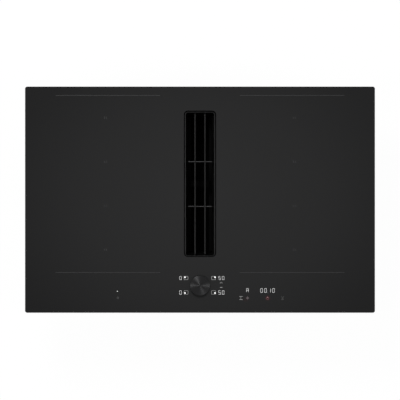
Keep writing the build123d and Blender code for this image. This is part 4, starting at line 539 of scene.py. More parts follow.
def ceramic_ink(name, dark, light):
    """Screen-printed ceramic ink fired onto the glass: a fine dot screen, slightly raised."""
    material, tree, shader = blank(name)
    dots = add(tree, "TexVoronoi", {"Vector": object_place(tree), "Scale": 3200.0})
    share = add(tree, "MapRange", {"Value": dots.outputs["Distance"], "From Min": 0.2,
                                   "From Max": 0.6}).outputs[0]
    wire(tree, shader, {
        "Base Color": mix_colours(tree, share, light, dark),
        "Roughness": between(tree, share, 0.4, 0.55),
        "Specular IOR Level": 0.35,
        "Normal": bumped(tree, share, 0.00001, 0.3),
    })
    return material


# The weakest light in a figure, as a share of its full light
LIT_UNEVEN = 0.82


def lit_mark(name, colour, level):
    """A lit figure under the glass: light of one colour, a little weaker here and there."""
    material, tree, shader = blank(name)
    flow = add(tree, "TexNoise", {"Vector": object_place(tree), "Scale": 500.0}).outputs[0]
    dim = tuple(c * LIT_UNEVEN for c in colour)
    wire(tree, shader, {
        "Base Color": (0.01, 0.01, 0.01, 1.0),
        "Roughness": between(tree, flow, 0.05, 0.1),
        "Emission Color": mix_colours(tree, flow, dim, colour),
        "Emission Strength": level,
    })
    return material


def enamel(name, dark, light, roughness, specular):
    """Satin enamel over cast iron: soft waviness of the casting under fine pits."""
    material, tree, shader = blank(name)
    fine = use(tree, GRAIN, Scale=1400.0)
    wave = use(tree, SMUDGES, Scale=160.0)
    height = calc(tree, "MULTIPLY_ADD", wave["Share"], 0.6, fine["Height"])
    wire(tree, shader, {
        "Base Color": mix_colours(tree, fine["Shade"], dark, light),
        "Roughness": around(tree, fine["Height"], roughness, 0.07),
        "Specular IOR Level": specular,
        "Normal": bumped(tree, height, 0.00003, 0.35),
    })
    return material


def turned_metal(name, dark, light, roughness, y, anisotropy):
    """Circular-turned metal about an upright axis at x = 0 and y: rings of tool marks, and a
    sheen stretched across them."""
    material, tree, shader = blank(name)
    marks = use(tree, TURNING, Centre=(0.0, y * MM, 0.0), Lines=4200.0)
    ring = add(tree, "Tangent", direction_type="RADIAL", axis="Z").outputs[0]
    wire(tree, shader, {
        "Base Color": mix_colours(tree, marks["Shade"], dark, light),
        "Metallic": 0.8,
        "Roughness": around(tree, marks["Shade"], roughness, 0.05),
        "Specular IOR Level": 0.3,
        "Anisotropic": anisotropy,
        "Anisotropic Rotation": 0.25,
        "Tangent": ring,
        "Normal": bumped(tree, marks["Height"], 0.000004, 0.25),
    })
    return material


def foam(name, dark, light):
    """Closed-cell foam: small round cells, matt."""
    material, tree, shader = blank(name)
    cells = add(tree, "TexVoronoi", {"Vector": object_place(tree), "Scale": 1500.0},
                feature="SMOOTH_F1")
    wire(tree, shader, {
        "Base Color": mix_colours(tree, cells.outputs["Distance"], dark, light),
        "Roughness": between(tree, cells.outputs["Distance"], 0.75, 0.95),
        "Normal": bumped(tree, cells.outputs["Distance"], 0.0002, 0.5),
    })
    return material


def fibre_felt(name, dark, light):
    """Ceramic-fibre felt: crossed tangled fibres, with slow thick and thin patches."""
    material, tree, shader = blank(name)
    one = use(tree, DRAWN, Stretch=(0.15, 1.0, 1.0), Scale=1500.0)
    other = use(tree, DRAWN, Stretch=(1.0, 0.15, 1.0), Scale=1300.0)
    height = calc(tree, "MAXIMUM", one["Height"], other["Height"])
    wire(tree, shader, {
        "Base Color": mix_colours(tree, height, dark, light),
        "Roughness": between(tree, height, 0.85, 0.98),
        "Normal": bumped(tree, height, 0.0003, 0.6),
    })
    return material


def circuit_board(name):
    """Green solder mask over tracks: rectangular runs a shade lighter, and tinned pads."""
    material, tree, shader = blank(name)
    place = object_place(tree)
    track = add(tree, "TexBrick", {"Vector": place, "Scale": 160.0, "Mortar Size": 0.06,
                                   "Mortar Smooth": 0.1, "Brick Width": 1.7,
                                   "Row Height": 0.35}).outputs["Fac"]
    pads = add(tree, "TexVoronoi", {"Vector": place, "Scale": 330.0}).outputs["Distance"]
    pad = add(tree, "MapRange", {"Value": pads, "From Min": 0.16, "From Max": 0.12}).outputs[0]
    mask = mix_colours(tree, track, (0.012, 0.085, 0.035), (0.03, 0.16, 0.07))
    wire(tree, shader, {
        "Base Color": mix_colours(tree, pad, mask, (0.72, 0.72, 0.7)),
        "Metallic": calc(tree, "MULTIPLY", pad, 0.9),
        "Roughness": between(tree, track, 0.2, 0.32),
        "Normal": bumped(tree, track, 0.00005, 0.4),
    })
    return material


def litz_copper(name):
    """Enamelled copper litz: strands that wind round the wire, darker in the grooves."""
    material, tree, shader = blank(name)
    along = add(tree, "UVMap", uv_map="strand").outputs[0]
    strands = add(tree, "TexWave", {"Vector": along, "Scale": 1.0, "Distortion": 0.2,
                                    "Detail": 1.0}, wave_type="BANDS",
                  bands_direction="DIAGONAL").outputs["Fac"]
    wire(tree, shader, {
        "Base Color": mix_colours(tree, strands, (0.16, 0.045, 0.016), (0.62, 0.27, 0.12)),
        "Metallic": 0.9,
        "Roughness": between(tree, strands, 0.45, 0.32),
        "Normal": bumped(tree, strands, 0.00012, 0.6),
    })
    return material


def floor_finish():
    """White studio floor: it reads white to the eye and in reflections, and keeps a share of
    plain lit white, so the object's shadow stays on it. From beneath it is clear."""
    material, tree, shader = blank("White studio floor")
    wire(tree, shader, {"Base Color": (0.93, 0.93, 0.93, 1.0), "Roughness": 0.9,
                        "Specular IOR Level": 0.0})
    white = add(tree, "Emission", {"Color": (1.0, 1.0, 1.0, 1.0), "Strength": 1.0})
    mixed = add(tree, "MixShader", {0: calc(tree, "MULTIPLY", in_sight(tree), FLOOR_WHITE),
                                    1: shader.outputs[0], 2: white.outputs[0]})
    under = add(tree, "NewGeometry").outputs["Backfacing"]
    clear = add(tree, "BsdfTransparent")
    whole = add(tree, "MixShader", {0: under, 1: mixed.outputs[0], 2: clear.outputs[0]})
    tree.links.new(whole.outputs[0], tree.nodes["Material Output"].inputs["Surface"])
    return material


# ------------------------------------------------------------------ studio

# The sensor and the lens, and how much of the glass's plane the picture takes in
SENSOR = 36.0
LENS = 200.0
FRAME_WIDE = 905.3
VIEW_X = 0.01
VIEW_Y = -0.74
FAR_CLIP = 100.0
FLOOR_WHITE = 0.965
FLOOR_SIZE = 40.0
FLOOR_GAP = 0.3
SKY_LIGHT = 0.42

# The sky that is seen: its level at tilts from straight up (0) to the horizon (1). It is
# narrower from back to front.
SKY_STOPS = ((0.0, 0.28), (0.03, 0.24), (0.055, 0.19), (0.095, 0.03), (0.2, 0.25), (0.6, 0.7),
             (1.0, 0.96))
SKY_NARROW = 1.25

# Softboxes: name, place, width, height and watts. The last is the glass's own.
LAMPS = (
    ("key_lamp", (-0.95, 1.7, 2.6), 0.8, 1.1, 60.0),
    ("left_lamp", (-2.4, -0.2, 2.0), 0.5, 1.3, 28.0),
    ("right_lamp", (2.4, -0.3, 2.0), 0.5, 1.3, 28.0),
)
GLASS_LAMP = ("glass_lamp", (0.0, 2.4, 4.0), 1.6, 1.6, 208.0)


def camera():
    """Looks straight down from far off, as the photograph does: its height over the glass is
    the width taken in, times the lens, over the sensor."""
    data = bpy.data.cameras.new("camera")
    data.sensor_width = SENSOR
    data.lens = LENS
    data.clip_end = FAR_CLIP
    eye = bpy.data.objects.new("camera", data)
    eye.location = (VIEW_X * MM, VIEW_Y * MM, (GLASS_TOP + FRAME_WIDE * LENS / SENSOR) * MM)
    bpy.context.scene.collection.objects.link(eye)
    bpy.context.scene.camera = eye


def softbox(name, place, width, height, watts):
    """A rectangular studio lamp aimed at the middle of the object: tilted by the angle whose
    tangent is its distance along the floor over its height, and turned to its own side."""
    data = bpy.data.lights.new(name, "AREA")
    data.shape = "RECTANGLE"
    data.size = width
    data.size_y = height
    data.energy = watts
    lamp = bpy.data.objects.new(name, data)
    lamp.location = place
    far = math.hypot(place[0], place[1])
    lamp.rotation_euler = (math.atan2(far, place[2]), 0, math.atan2(place[0], -place[1]))
    bpy.context.scene.collection.objects.link(lamp)
    return lamp


def light_the_glass(sheet):
    """Gives the glass a softbox of its own, high at the back, so that the knob's shadow falls
    to the front. The other lamps light all but the glass, so none of them is mirrored in it
    as a hard-edged patch."""
    groups = [bpy.data.collections.new(name) for name in ("all_but_glass", "glass_alone")]
    for group, state in zip(groups, ("EXCLUDE", "INCLUDE")):
        group.objects.link(sheet)
        group.collection_objects[0].light_linking.link_state = state
    own = softbox(*GLASS_LAMP)
    own.visible_glossy = False
    for lamp in [made for made in bpy.context.scene.objects if made.type == "LIGHT"]:
        lamp.light_linking.receiver_collection = groups[lamp == own]


def picture():
    """Colours are shown as they are written."""
    bpy.context.scene.view_settings.view_transform = "Standard"


def studio():
    """A white floor, a pale sky that is dimmer straight above, and soft lamps round it. The
    sky's tilt is the length of a direction's flat part, with its depth stretched."""
    plane = bpy.data.meshes.new("studio_floor")
    half, z = FLOOR_SIZE / 2, cad_box[0][2] - FLOOR_GAP * MM
    plane.from_pydata([(-half, -half, z), (half, -half, z), (half, half, z), (-half, half, z)],
                      [], [(0, 1, 2, 3)])
    plane.materials.append(floor_finish())
    ground = bpy.data.objects.new("studio_floor", plane)
    bpy.context.scene.collection.objects.link(ground)

    world = bpy.data.worlds.new("Studio sky")
    bpy.context.scene.world = world
    world.use_nodes = True
    tree = world.node_tree
    way = add(tree, "TexCoord").outputs["Generated"]
    flat_way = add(tree, "VectorMath", {0: way, 1: (1.0, SKY_NARROW, 0.0)}, operation="MULTIPLY")
    tilt = add(tree, "VectorMath", {0: flat_way.outputs[0]}, operation="LENGTH").outputs["Value"]
    ramp = add(tree, "ValToRGB", {0: tilt})
    ramp.color_ramp.interpolation = "LINEAR"
    while len(ramp.color_ramp.elements) < len(SKY_STOPS):
        ramp.color_ramp.elements.new(0.5)
    for element, (at, level) in zip(ramp.color_ramp.elements, SKY_STOPS):
        element.position = at
        element.color = (level, level, level, 1.0)
    light = mix_colours(tree, in_sight(tree), (SKY_LIGHT,) * 3, ramp.outputs[0])
    wire(tree, tree.nodes["Background"], {"Color": light, "Strength": 1.0})

    for lamp in LAMPS:
        softbox(*lamp)


# ------------------------------------------------------------------ glass and its marks

GLASS_CORNER = 5.0
GLASS_BEVEL = 1.0
EDGE_ROUND = 0.25
# (u, v) of the points that round the bevel's foot and its top, as shares of EDGE_ROUND
BEVEL_FOOT = ((0.0, -1.0), (-0.3, 0.2))
BEVEL_TOP = ((0.5, -0.4), (-0.4, 0.0))
VENT_W = 72.5
VENT_L = 331.0
VENT_CORNER = 9.0
VENT_ARRIS = 0.3
ARRIS_BULGE = 0.35
CORNER_STEPS = 12
INK_LIFT = 0.03
LINE_WIDTH = 1.0
LINE_BACK_Y = 236.0
LINE_FRONT_Y = -164.8
LINE_IN = 90.6
LINE_OUT = 326.5
COILS_A_SIDE = 4
MARK_X = 214.0
MARK_PITCH = 99.6
MARK_TALL = 4.5
MARK_GAP = 4.5
MARK_WIDTH = 0.8


def glass_sheet():
    """The plate as one closed band of loops: down the hole's wall, out under the plate, up its
    edge, over the rounded bevel and back across the face to the hole's arris. Each loop is a
    rounded rectangle moved along its normals by u and set at the height v."""
    width, depth = GLASS_HIGH[0] - GLASS_LOW[0], GLASS_HIGH[1] - GLASS_LOW[1]
    outer, outer_out = rounded_loop(width, depth, GLASS_CORNER, CORNER_STEPS)
    hole, hole_out = rounded_loop(VENT_W, VENT_L, VENT_CORNER, CORNER_STEPS, y=VENT_Y)
    low, top, bulge = GLASS_LOW[2], GLASS_TOP, VENT_ARRIS * ARRIS_BULGE
    hole_edge = [(VENT_ARRIS, top), (bulge, top - bulge), (0.0, top - VENT_ARRIS), (0.0, low)]
    rim = [(0.0, low)]
    rim += [(u * EDGE_ROUND, top - GLASS_BEVEL + v * EDGE_ROUND) for u, v in BEVEL_FOOT]
    rim += [(-GLASS_BEVEL + u * EDGE_ROUND, top + v * EDGE_ROUND) for u, v in BEVEL_TOP]
    points = [
        np.column_stack([flat + out * u, np.full(len(flat), v)])
        for flat, out, profile in ((hole, hole_out, hole_edge), (outer, outer_out, rim))
        for u, v in profile
    ]
    faces = tube_faces(len(points), len(outer))
    on_face = np.repeat(np.arange(len(points)), len(outer)) == len(points) - 1
    sheet = piece("glass_sheet", np.concatenate(points), [faces], [GLASS, EDGE], "cooktop",
                  sharp=25.0, marks=~on_face, flat=on_face)
    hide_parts("glass_plate")
    light_the_glass(sheet)


def on_glass(name, parts, finish):
    """A thin printed or lit figure lying on the glass."""
    points, faces = joined(parts)
    return piece(name, points, faces, finish, "cooktop")


def raised(outlines):
    """Outlines as thin plates on the glass."""
    return slabs(outlines, GLASS_TOP, GLASS_TOP + INK_LIFT)


def zone_lines():
    """Four printed lines that close the two cooking zones at the back and the front: straight
    strokes, mirrored about the inlet."""
    strokes = [
        ((side * LINE_IN, y), (side * LINE_OUT, y))
        for side in (-1, 1)
        for y in (LINE_BACK_Y, LINE_FRONT_Y)
    ]
    on_glass("zone_lines", [raised(capsules(strokes, LINE_WIDTH))], INK)


def pan_marks():
    """A pair of short ticks at the middle of each coil. The coils of a side lie a pitch apart,
    evenly about the inlet's middle."""
    strokes = []
    for side in (-1, 1):
        for step in range(COILS_A_SIDE):
            y = VENT_Y + (step - (COILS_A_SIDE - 1) / 2) * MARK_PITCH
            for part in (-1, 1):
                x = side * MARK_X + part * MARK_GAP / 2
                strokes.append(((x, y - MARK_TALL / 2), (x, y + MARK_TALL / 2)))
    on_glass("pan_marks", [raised(capsules(strokes, MARK_WIDTH))], MARK_INK)


# ------------------------------------------------------------------ lit figures

# A figure's cell is 2 wide and 4 tall about its middle. Its straight segments run clockwise
# from the top, as a to f, with g across the middle.
SEGMENTS = {
    "a": ((-1, 2), (1, 2)),
    "b": ((1, 2), (1, 0)),
    "c": ((1, 0), (1, -2)),
    "d": ((1, -2), (-1, -2)),
    "e": ((-1, -2), (-1, 0)),
    "f": ((-1, 0), (-1, 2)),
    "g": ((-1, 0), (1, 0)),
}
# Which straight segments a figure lights, and which rounded halves: 1 upper, -1 lower
FIGURES = {"1": "bc", "5": "acdfg", "A": "ceg"}
BOWS = {"0": (1, -1), "A": (1,)}
FIGURE_WIDE = 4.9
# The back and the front row
FIGURE_TALL = (8.1, 9.0)
FIGURE_STROKE = 0.6
SEGMENT_GAP = 0.35
BOW_CORNER = 1.4
INNER_CORNER_CUT = 0.6


def bow(x, y, wide, tall, up):
    """Half of a nought: the upper or lower half of a rounded rectangle, as a thin strip that
    stops short of the middle, so that the two halves stay apart."""
    rims = []
    for inset in (0.0, FIGURE_STROKE):
        corner = BOW_CORNER - INNER_CORNER_CUT * inset
        loop, _ = rounded_loop(wide - 2 * inset, tall - 2 * inset, corner, 6)
        half = loop[: len(loop) // 2]
        ends = half[[0, -1]] * [1, 0] + [0, SEGMENT_GAP / 2]
        half = np.concatenate([ends[:1], half, ends[1:]])
        rims.append(half * up + [x, y])
    return band(*rims, GLASS_TOP, GLASS_TOP + INK_LIFT)


def figure(letter, x, y, wide, tall):
    """One figure's lit parts: its half noughts, and strokes between its cell's corners, each
    shortened about its middle by a gap at both ends."""
    parts = [bow(x, y, wide, tall, up) for up in BOWS.get(letter, ())]
    if letter in FIGURES:
        lit = np.array([SEGMENTS[s] for s in FIGURES[letter]], float)
        lit = lit * [(wide - FIGURE_STROKE) / 2, (tall - FIGURE_STROKE) / 4]
        middle = lit.mean(axis=1, keepdims=True)
        length = np.linalg.norm(lit[:, 1] - lit[:, 0], axis=1)[:, None, None]
        shrink = 1 - 2 * SEGMENT_GAP / length
        strokes = middle + (lit - middle) * shrink + [x, y]
        parts.append(raised(capsules(strokes, FIGURE_STROKE)))
    return parts


def dot(x, y):
    """A stroke of no length, which the rounded ends turn into a round dot."""
    return np.array([[[x, y], [x, y]]], float)


ROW_X = 44.13
ROW_Y = (-177.27, -210.09)
ICON_X = (-31.68, 30.68)
ICON_WIDE = 9.7
ICON_CORNER = 1.6
ICON_INNER_CORNER = 1.12
ICON_STROKE = 0.6
ICON_DOT = 3.35
DOT_X = 33.95
DOT_IN = (1.8, -1.15)
LEVEL_X = (44.15, 52.4)


def zone_figures():
    """Heat level of each zone beside the knob: noughts on the left, levels on the right."""
    parts = []
    for y, tall in zip(ROW_Y, FIGURE_TALL):
        for letter, x in (("0", -ROW_X), ("5", LEVEL_X[0]), ("0", LEVEL_X[1])):
            parts += figure(letter, x, y, FIGURE_WIDE, tall)
    on_glass("zone_figures", parts, LIT_WHITE)


def zone_icons():
    """A small rounded frame for each zone, with a dot at the zone's own corner."""
    dots, cut = [], 2 * ICON_STROKE
    rows = zip(("back", "front"), (LIT_FRAME, LIT_DIM), ROW_Y, FIGURE_TALL, DOT_IN)
    for row, light, y, tall, up in rows:
        frames = []
        for x, side in zip(ICON_X, (-1, 1)):
            outer, _ = rounded_loop(ICON_WIDE, tall, ICON_CORNER, 5, x, y)
            inner, _ = rounded_loop(ICON_WIDE - cut, tall - cut, ICON_INNER_CORNER, 5, x, y)
            frames.append(loop_slab(outer, inner, GLASS_TOP, GLASS_TOP + INK_LIFT))
            dots.append(dot(side * DOT_X, y + up))
        on_glass(f"zone_frames_{row}", frames, light)
    lift = GLASS_TOP + 2 * INK_LIFT
    round_dots = slabs(capsules(np.concatenate(dots), ICON_DOT), GLASS_TOP, lift)
    on_glass("zone_dots", [round_dots], LIT_BRIGHT)


def arc(x, y, radius, turn, width, steps):
    """A flat band along part of a circle: points at the radius plus and minus half a width.
    turn holds its first and its last angle, in degrees."""
    angle = np.radians(np.linspace(*turn, steps + 1))
    way = np.stack([np.cos(angle), np.sin(angle)], -1)
    rims = [way * (radius + side * width / 2) + [x, y] for side in (1, -1)]
    return band(*rims, GLASS_TOP, GLASS_TOP + INK_LIFT)


TIMER_Y = -205.56
TIMER_X = (139.2, 148.25, 159.57, 166.3)
TIMER_POINT = (153.1, -210.4)
TIMER_TALL = 9.65
TIMER_WIDE = 5.13
AUTO_X = 107.52
AUTO_TALL = 8.75
AUTO_RISE = 0.45
POINT_WIDTH = 0.9

# The signs under the timer. A pair is a place or a reach to the side and up.
SIGN_Y = -222.55
MENU_X = 92.8
MENU_REACH = 3.4
MENU_BAR = 0.9
MENU_STEM_X = -0.3
MENU_STEM_REACH = 2.0
MENU_STEM = 0.6
STAR_X = 107.6
STAR_REACH = 4.3
STAR_WAIST = 2.2
CLOCK_X = 152.8
CLOCK_DROP = 0.7
CLOCK_RADIUS = 2.7
CLOCK_TURN = (95.0, 445.0)
CLOCK_STROKE = 0.6
# From and to, over SIGN_Y
CLOCK_KNOB = (3.2, 4.0)
CLOCK_KNOB_WIDTH = 0.9
HAND_TOP = 1.9
HAND_REACH = (1.2, 0.5)
HAND_WIDTH = 0.8
HOURGLASS_X = 186.7
HOURGLASS_REACH = (2.6, 3.6)
HOURGLASS_STROKE = 0.45

# The signs at the levels on the right, and the power light and mark
LEVEL_SIGN_X = 48.0
ARCH_Y = -189.1
ARCH_RADIUS = 2.2
ARCH_TURN = (-20.0, 200.0)
ARCH_STROKE = 0.7
DASH_Y = -198.6
DASH_REACH = 2.3
DASH_WIDTH = 1.1
POWER_LIGHT = (-187.0, -207.4)
POWER_LIGHT_WIDE = 1.8
POWER_MARK = (-186.0, -222.3)
POWER_RADIUS = 1.9
POWER_TURN = (115.0, 425.0)
POWER_STROKE = 0.5
# From and to, over the mark's middle
POWER_STEM = (0.6, 3.6)
POWER_STEM_WIDTH = 0.6


def timer_figures():
    """The time and the letter for automatic running, right of the knob. A 1 has only its
    cell's right strokes, so it is moved half the cell's width less a stroke to the left."""
    parts = figure("A", AUTO_X, TIMER_Y + AUTO_RISE, TIMER_WIDE, AUTO_TALL)
    for x, letter in zip(TIMER_X, "0010"):
        shift = (FIGURE_STROKE - TIMER_WIDE) / 2 if letter == "1" else 0.0
        parts += figure(letter, x + shift, TIMER_Y, TIMER_WIDE, TIMER_TALL)
    on_glass("timer_figures", parts, LIT_WHITE)
    on_glass("timer_point", [raised(capsules(dot(*TIMER_POINT), POINT_WIDTH))], LIT_DIM)


def star(x, y, reach, waist):
    """A filled four-pointed star: points at the reach, and at the waist half way between."""
    turn = np.arange(8)
    angle = np.radians(turn * 45.0)
    radius = np.where(turn % 2 == 0, reach, waist)[:, None]
    return raised((np.stack([np.cos(angle), np.sin(angle)], -1) * radius + [x, y])[None])


def menu_sign():
    """Two bars joined by a short stem."""
    x, left, right = MENU_X + MENU_STEM_X, MENU_X - MENU_REACH, MENU_X + MENU_REACH
    bars = [((left, SIGN_Y + up), (right, SIGN_Y + up)) for up in (MENU_REACH, -MENU_REACH)]
    stem = [((x, SIGN_Y - MENU_STEM_REACH), (x, SIGN_Y + MENU_STEM_REACH))]
    parts = [raised(capsules(bars, MENU_BAR)), raised(capsules(stem, MENU_STEM))]
    on_glass("menu_sign", parts, LIT_DIM)


def clock_sign():
    """A stop clock: a ring that is open at the top, a push knob over it and two hands."""
    ring = arc(CLOCK_X, SIGN_Y - CLOCK_DROP, CLOCK_RADIUS, CLOCK_TURN, CLOCK_STROKE, 28)
    knob = [tuple((CLOCK_X, SIGN_Y + up) for up in CLOCK_KNOB)]
    on_glass("clock_sign", [ring, raised(capsules(knob, CLOCK_KNOB_WIDTH))], LIT_RED)
    wide, up = HAND_REACH
    hands = [((CLOCK_X, SIGN_Y + HAND_TOP), (CLOCK_X + side * wide, SIGN_Y + up))
             for side in (-1, 1)]
    on_glass("clock_hand", [raised(capsules(hands, HAND_WIDTH))], LIT_PINK)


def hourglass_sign():
    """A cross of two strokes closed at its foot."""
    x, y, (wide, tall) = HOURGLASS_X, SIGN_Y, HOURGLASS_REACH
    cross = [((x - side * wide, y + tall), (x + side * wide, y - tall)) for side in (-1, 1)]
    foot = [((x - wide, y - tall), (x + wide, y - tall))]
    on_glass("hourglass_sign", [raised(capsules(cross + foot, HOURGLASS_STROKE))], LIT_FAINT)


def function_signs():
    """The row of small signs under the timer: menu, star, clock and hourglass."""
    menu_sign()
    on_glass("star_sign", [star(STAR_X, SIGN_Y, STAR_REACH, STAR_WAIST)], LIT_ROSE)
    clock_sign()
    hourglass_sign()


def side_signs():
    """The pan arch and dash beside the right figures, and the power light and mark."""
    dash = [((LEVEL_SIGN_X - DASH_REACH, DASH_Y), (LEVEL_SIGN_X + DASH_REACH, DASH_Y))]
    on_glass("level_signs", [
        arc(LEVEL_SIGN_X, ARCH_Y, ARCH_RADIUS, ARCH_TURN, ARCH_STROKE, 16),
        raised(capsules(dash, DASH_WIDTH)),
    ], LIT_DIM)
    x, y = POWER_MARK
    stem = [tuple((x, y + up) for up in POWER_STEM)]
    on_glass("power_mark", [
        arc(x, y, POWER_RADIUS, POWER_TURN, POWER_STROKE, 24),
        raised(capsules(stem, POWER_STEM_WIDTH)),
    ], LIT_FAINT)
    light = raised(capsules(dot(*POWER_LIGHT), POWER_LIGHT_WIDE))
    on_glass("power_light", [light], LIT_BRIGHT)


# ------------------------------------------------------------------ inlet grille

# The grille lies a little to the front in its opening
GRILLE_FORWARD = 0.6
GRILLE_Y = VENT_Y - GRILLE_FORWARD
RING_WALL = 2.65
RING_INSET = 0.35
# The end walls' thickness as a share of the side walls'
RING_END_WALL = 0.75
RING_CORNER = 7.4
RING_OUTER_ROUND = 1.5
RING_INNER_ROUND = 0.9
SLAT_X = 11.2
SLAT_T = 3.2
SLAT_FOOT = -9.0
BAR_T = 1.85
BAR_Y = 50.7
BAR_DROP = 1.6
BAR_FOOT = -5.0
# The low ends of a blade: their depth, then their length, the length of the rise after it,
# and their thickness as a share
DIP = 8.0
SLAT_DIP = (2.6, 1.8, 0.8)
BAR_DIP = (6.0, 1.0, 0.35)
BLADE_IN_WALL = 0.4
BLADE_STATIONS = 40
STATION_CROWD = 2.2
CREST_FLAT = 0.55
DRAFT = 0.35
BUFFER_LONG = 4.5
BUFFER_THICK = 1.3
BUFFER_ROUND = 0.4
BUFFER_SINK = 0.05
BUFFER_LOW = 0.9
BUFFER_FOOT = 1.0


def grille_ring():
    """The grille's outer ring: a wall with a rounded crest, tapered towards its foot and
    thinner at the ring's two ends. The crest is a row of points on two arcs,
    (edge + r cos a, top - r + r sin a)."""
    width, length = (GRILLE_HIGH - GRILLE_LOW)[:2]
    top, low = GRILLE_HIGH[2], GRILLE_LOW[2]
    cut = 2 * RING_INSET
    loop, out = rounded_loop(width - cut, length - cut, RING_CORNER, steps=10, y=GRILLE_Y)
    angle = np.radians(np.linspace(0, 90, 6))
    r = RING_OUTER_ROUND
    outer = np.stack([-r + r * np.cos(angle), top - r + r * np.sin(angle)], -1)
    r = RING_INNER_ROUND
    inner = np.stack([-RING_WALL + r - r * np.sin(angle), top - r + r * np.cos(angle)], -1)
    foot = [(-RING_WALL + DRAFT, low), (-DRAFT, low)]
    profile = np.concatenate([outer, inner, foot])
    return swept(loop, out * [1.0, RING_END_WALL], profile)


def blade(half_length, thickness, top, foot, dip):
    """A grille blade lying along X: a section with a full-round crest and tapered sides, set
    at stations along it that crowd towards its ends, L (1 - (1 - s)^c). Height and thickness
    run from the low ends to the high middle as 3 t^2 - 2 t^3. The third value tells the low
    faces from the others."""
    low_run, rise_run, thin = dip
    share = np.linspace(-1, 1, BLADE_STATIONS + 1)
    station = half_length * np.sign(share) * (1 - (1 - np.abs(share)) ** STATION_CROWD)
    from_end = half_length - np.abs(station)
    ease = np.clip((from_end - low_run) / rise_run, 0, 1)
    ease = ease * ease * (3 - 2 * ease)
    height = top - DIP * (1 - ease)
    half = thickness / 2
    angle = np.radians(np.linspace(0, 180, 9))
    across = np.concatenate([half * np.cos(angle), [-half + DRAFT, half - DRAFT]])
    rise = np.concatenate([CREST_FLAT * half * (np.sin(angle) - 1), [0, 0]])
    is_foot = np.concatenate([np.zeros(len(angle), bool), [True, True]])
    points = np.stack(
        [
            np.broadcast_to(station[:, None], (len(station), len(across))),
            across[None] * (thin + (1 - thin) * ease[:, None]),
            np.where(is_foot[None], foot, height[:, None] + rise[None]),
        ],
        -1,
    )
    rows, columns = points.shape[:2]
    index = np.arange(rows * columns).reshape(rows, columns)
    walls = tube_faces(rows, columns, close_rows=False)[:, ::-1]
    is_low = np.repeat((ease[1:] + ease[:-1]) / 2 < 0.5, columns)
    return points.reshape(-1, 3), [walls, index[:1], index[-1:, ::-1]], [*is_low, True, True]


def turned_quarter(part, x, y):
    """A part along X, turned a quarter so that it lies along Y, (x, y) to (-y, x), and moved."""
    points, faces = part
    moved = np.stack([-points[:, 1], points[:, 0], points[:, 2]], -1) + [x, y, 0]
    return moved, faces


def placed(part, x, y):
    """A part moved over the glass."""
    points, faces = part
    return points + [x, y, 0], faces


def grille_buffers():
    """Four rubber blocks between the ring and the opening's sides, in line with the bars."""
    width = GRILLE_HIGH[0] - GRILLE_LOW[0]
    out = width / 2 - RING_INSET + BUFFER_THICK / 2 - BUFFER_SINK
    outlines = [
        rounded_loop(BUFFER_THICK, BUFFER_LONG, BUFFER_ROUND, 4, side * out,
                     GRILLE_Y + end * BAR_Y)[0]
        for side in (-1, 1)
        for end in (-1, 1)
    ]
    points, faces = slabs(outlines, GRILLE_LOW[2] + BUFFER_FOOT, GRILLE_HIGH[2] - BUFFER_LOW)
    piece("grille_buffers", points, faces, BUFFER_RUBBER, "grille")


def cast_grille():
    """Ring, two long slats and two lower cross bars, enamelled black and the bars grey. The
    bars' low ends take the slats' darker enamel as painted shade.
    """
    width, length = (GRILLE_HIGH - GRILLE_LOW)[:2]
    top = GRILLE_HIGH[2]
    inside = RING_INSET + RING_WALL * BLADE_IN_WALL
    *slat, _ = blade(length / 2 - inside, SLAT_T, top, SLAT_FOOT, SLAT_DIP)
    *bar, low = blade(width / 2 - inside, BAR_T, top - BAR_DROP, BAR_FOOT, BAR_DIP)
    slats = [turned_quarter(slat, side * SLAT_X, GRILLE_Y) for side in (-1, 1)]
    bars = [placed(bar, 0, GRILLE_Y + side * BAR_Y) for side in (-1, 1)]
    wall = grille_ring()
    points, faces = joined([wall, *slats])
    on_slat = np.repeat(np.arange(len(faces)) >= len(wall[1]), [len(block) for block in faces])
    ring = piece("cast_grille", points, faces, [RING_ENAMEL, GRILLE_ENAMEL_AND_SHADE], "grille",
                 sharp=50.0, marks=on_slat)
    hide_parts("inlet_grille")
    # The bars' low ends and end faces take the darker slat enamel: painted shade where they dip to
    # the ring.
    points, faces = joined(bars)
    piece("cast_grille_bars", points, faces, [BAR_ENAMEL, GRILLE_ENAMEL_AND_SHADE], "grille",
          sharp=50.0, marks=low * 2)
    grille_buffers()


# ------------------------------------------------------------------ knob

KNOB_WALL = 1.5
KNOB_DOME = 2.6
KNOB_EDGE = 0.5
# Degrees of the rim's round, from the dome to the side
KNOB_EDGE_ARC = 78
KNOB_FLARE = 0.7
# The foot's chamfer, in and up
KNOB_FOOT = (0.3, 0.4)
KNOB_INNER_DRAFT = 0.2
KNOB_INNER_ROUND = 0.5
KNOB_RINGS = 22
KNOB_STEPS = 160


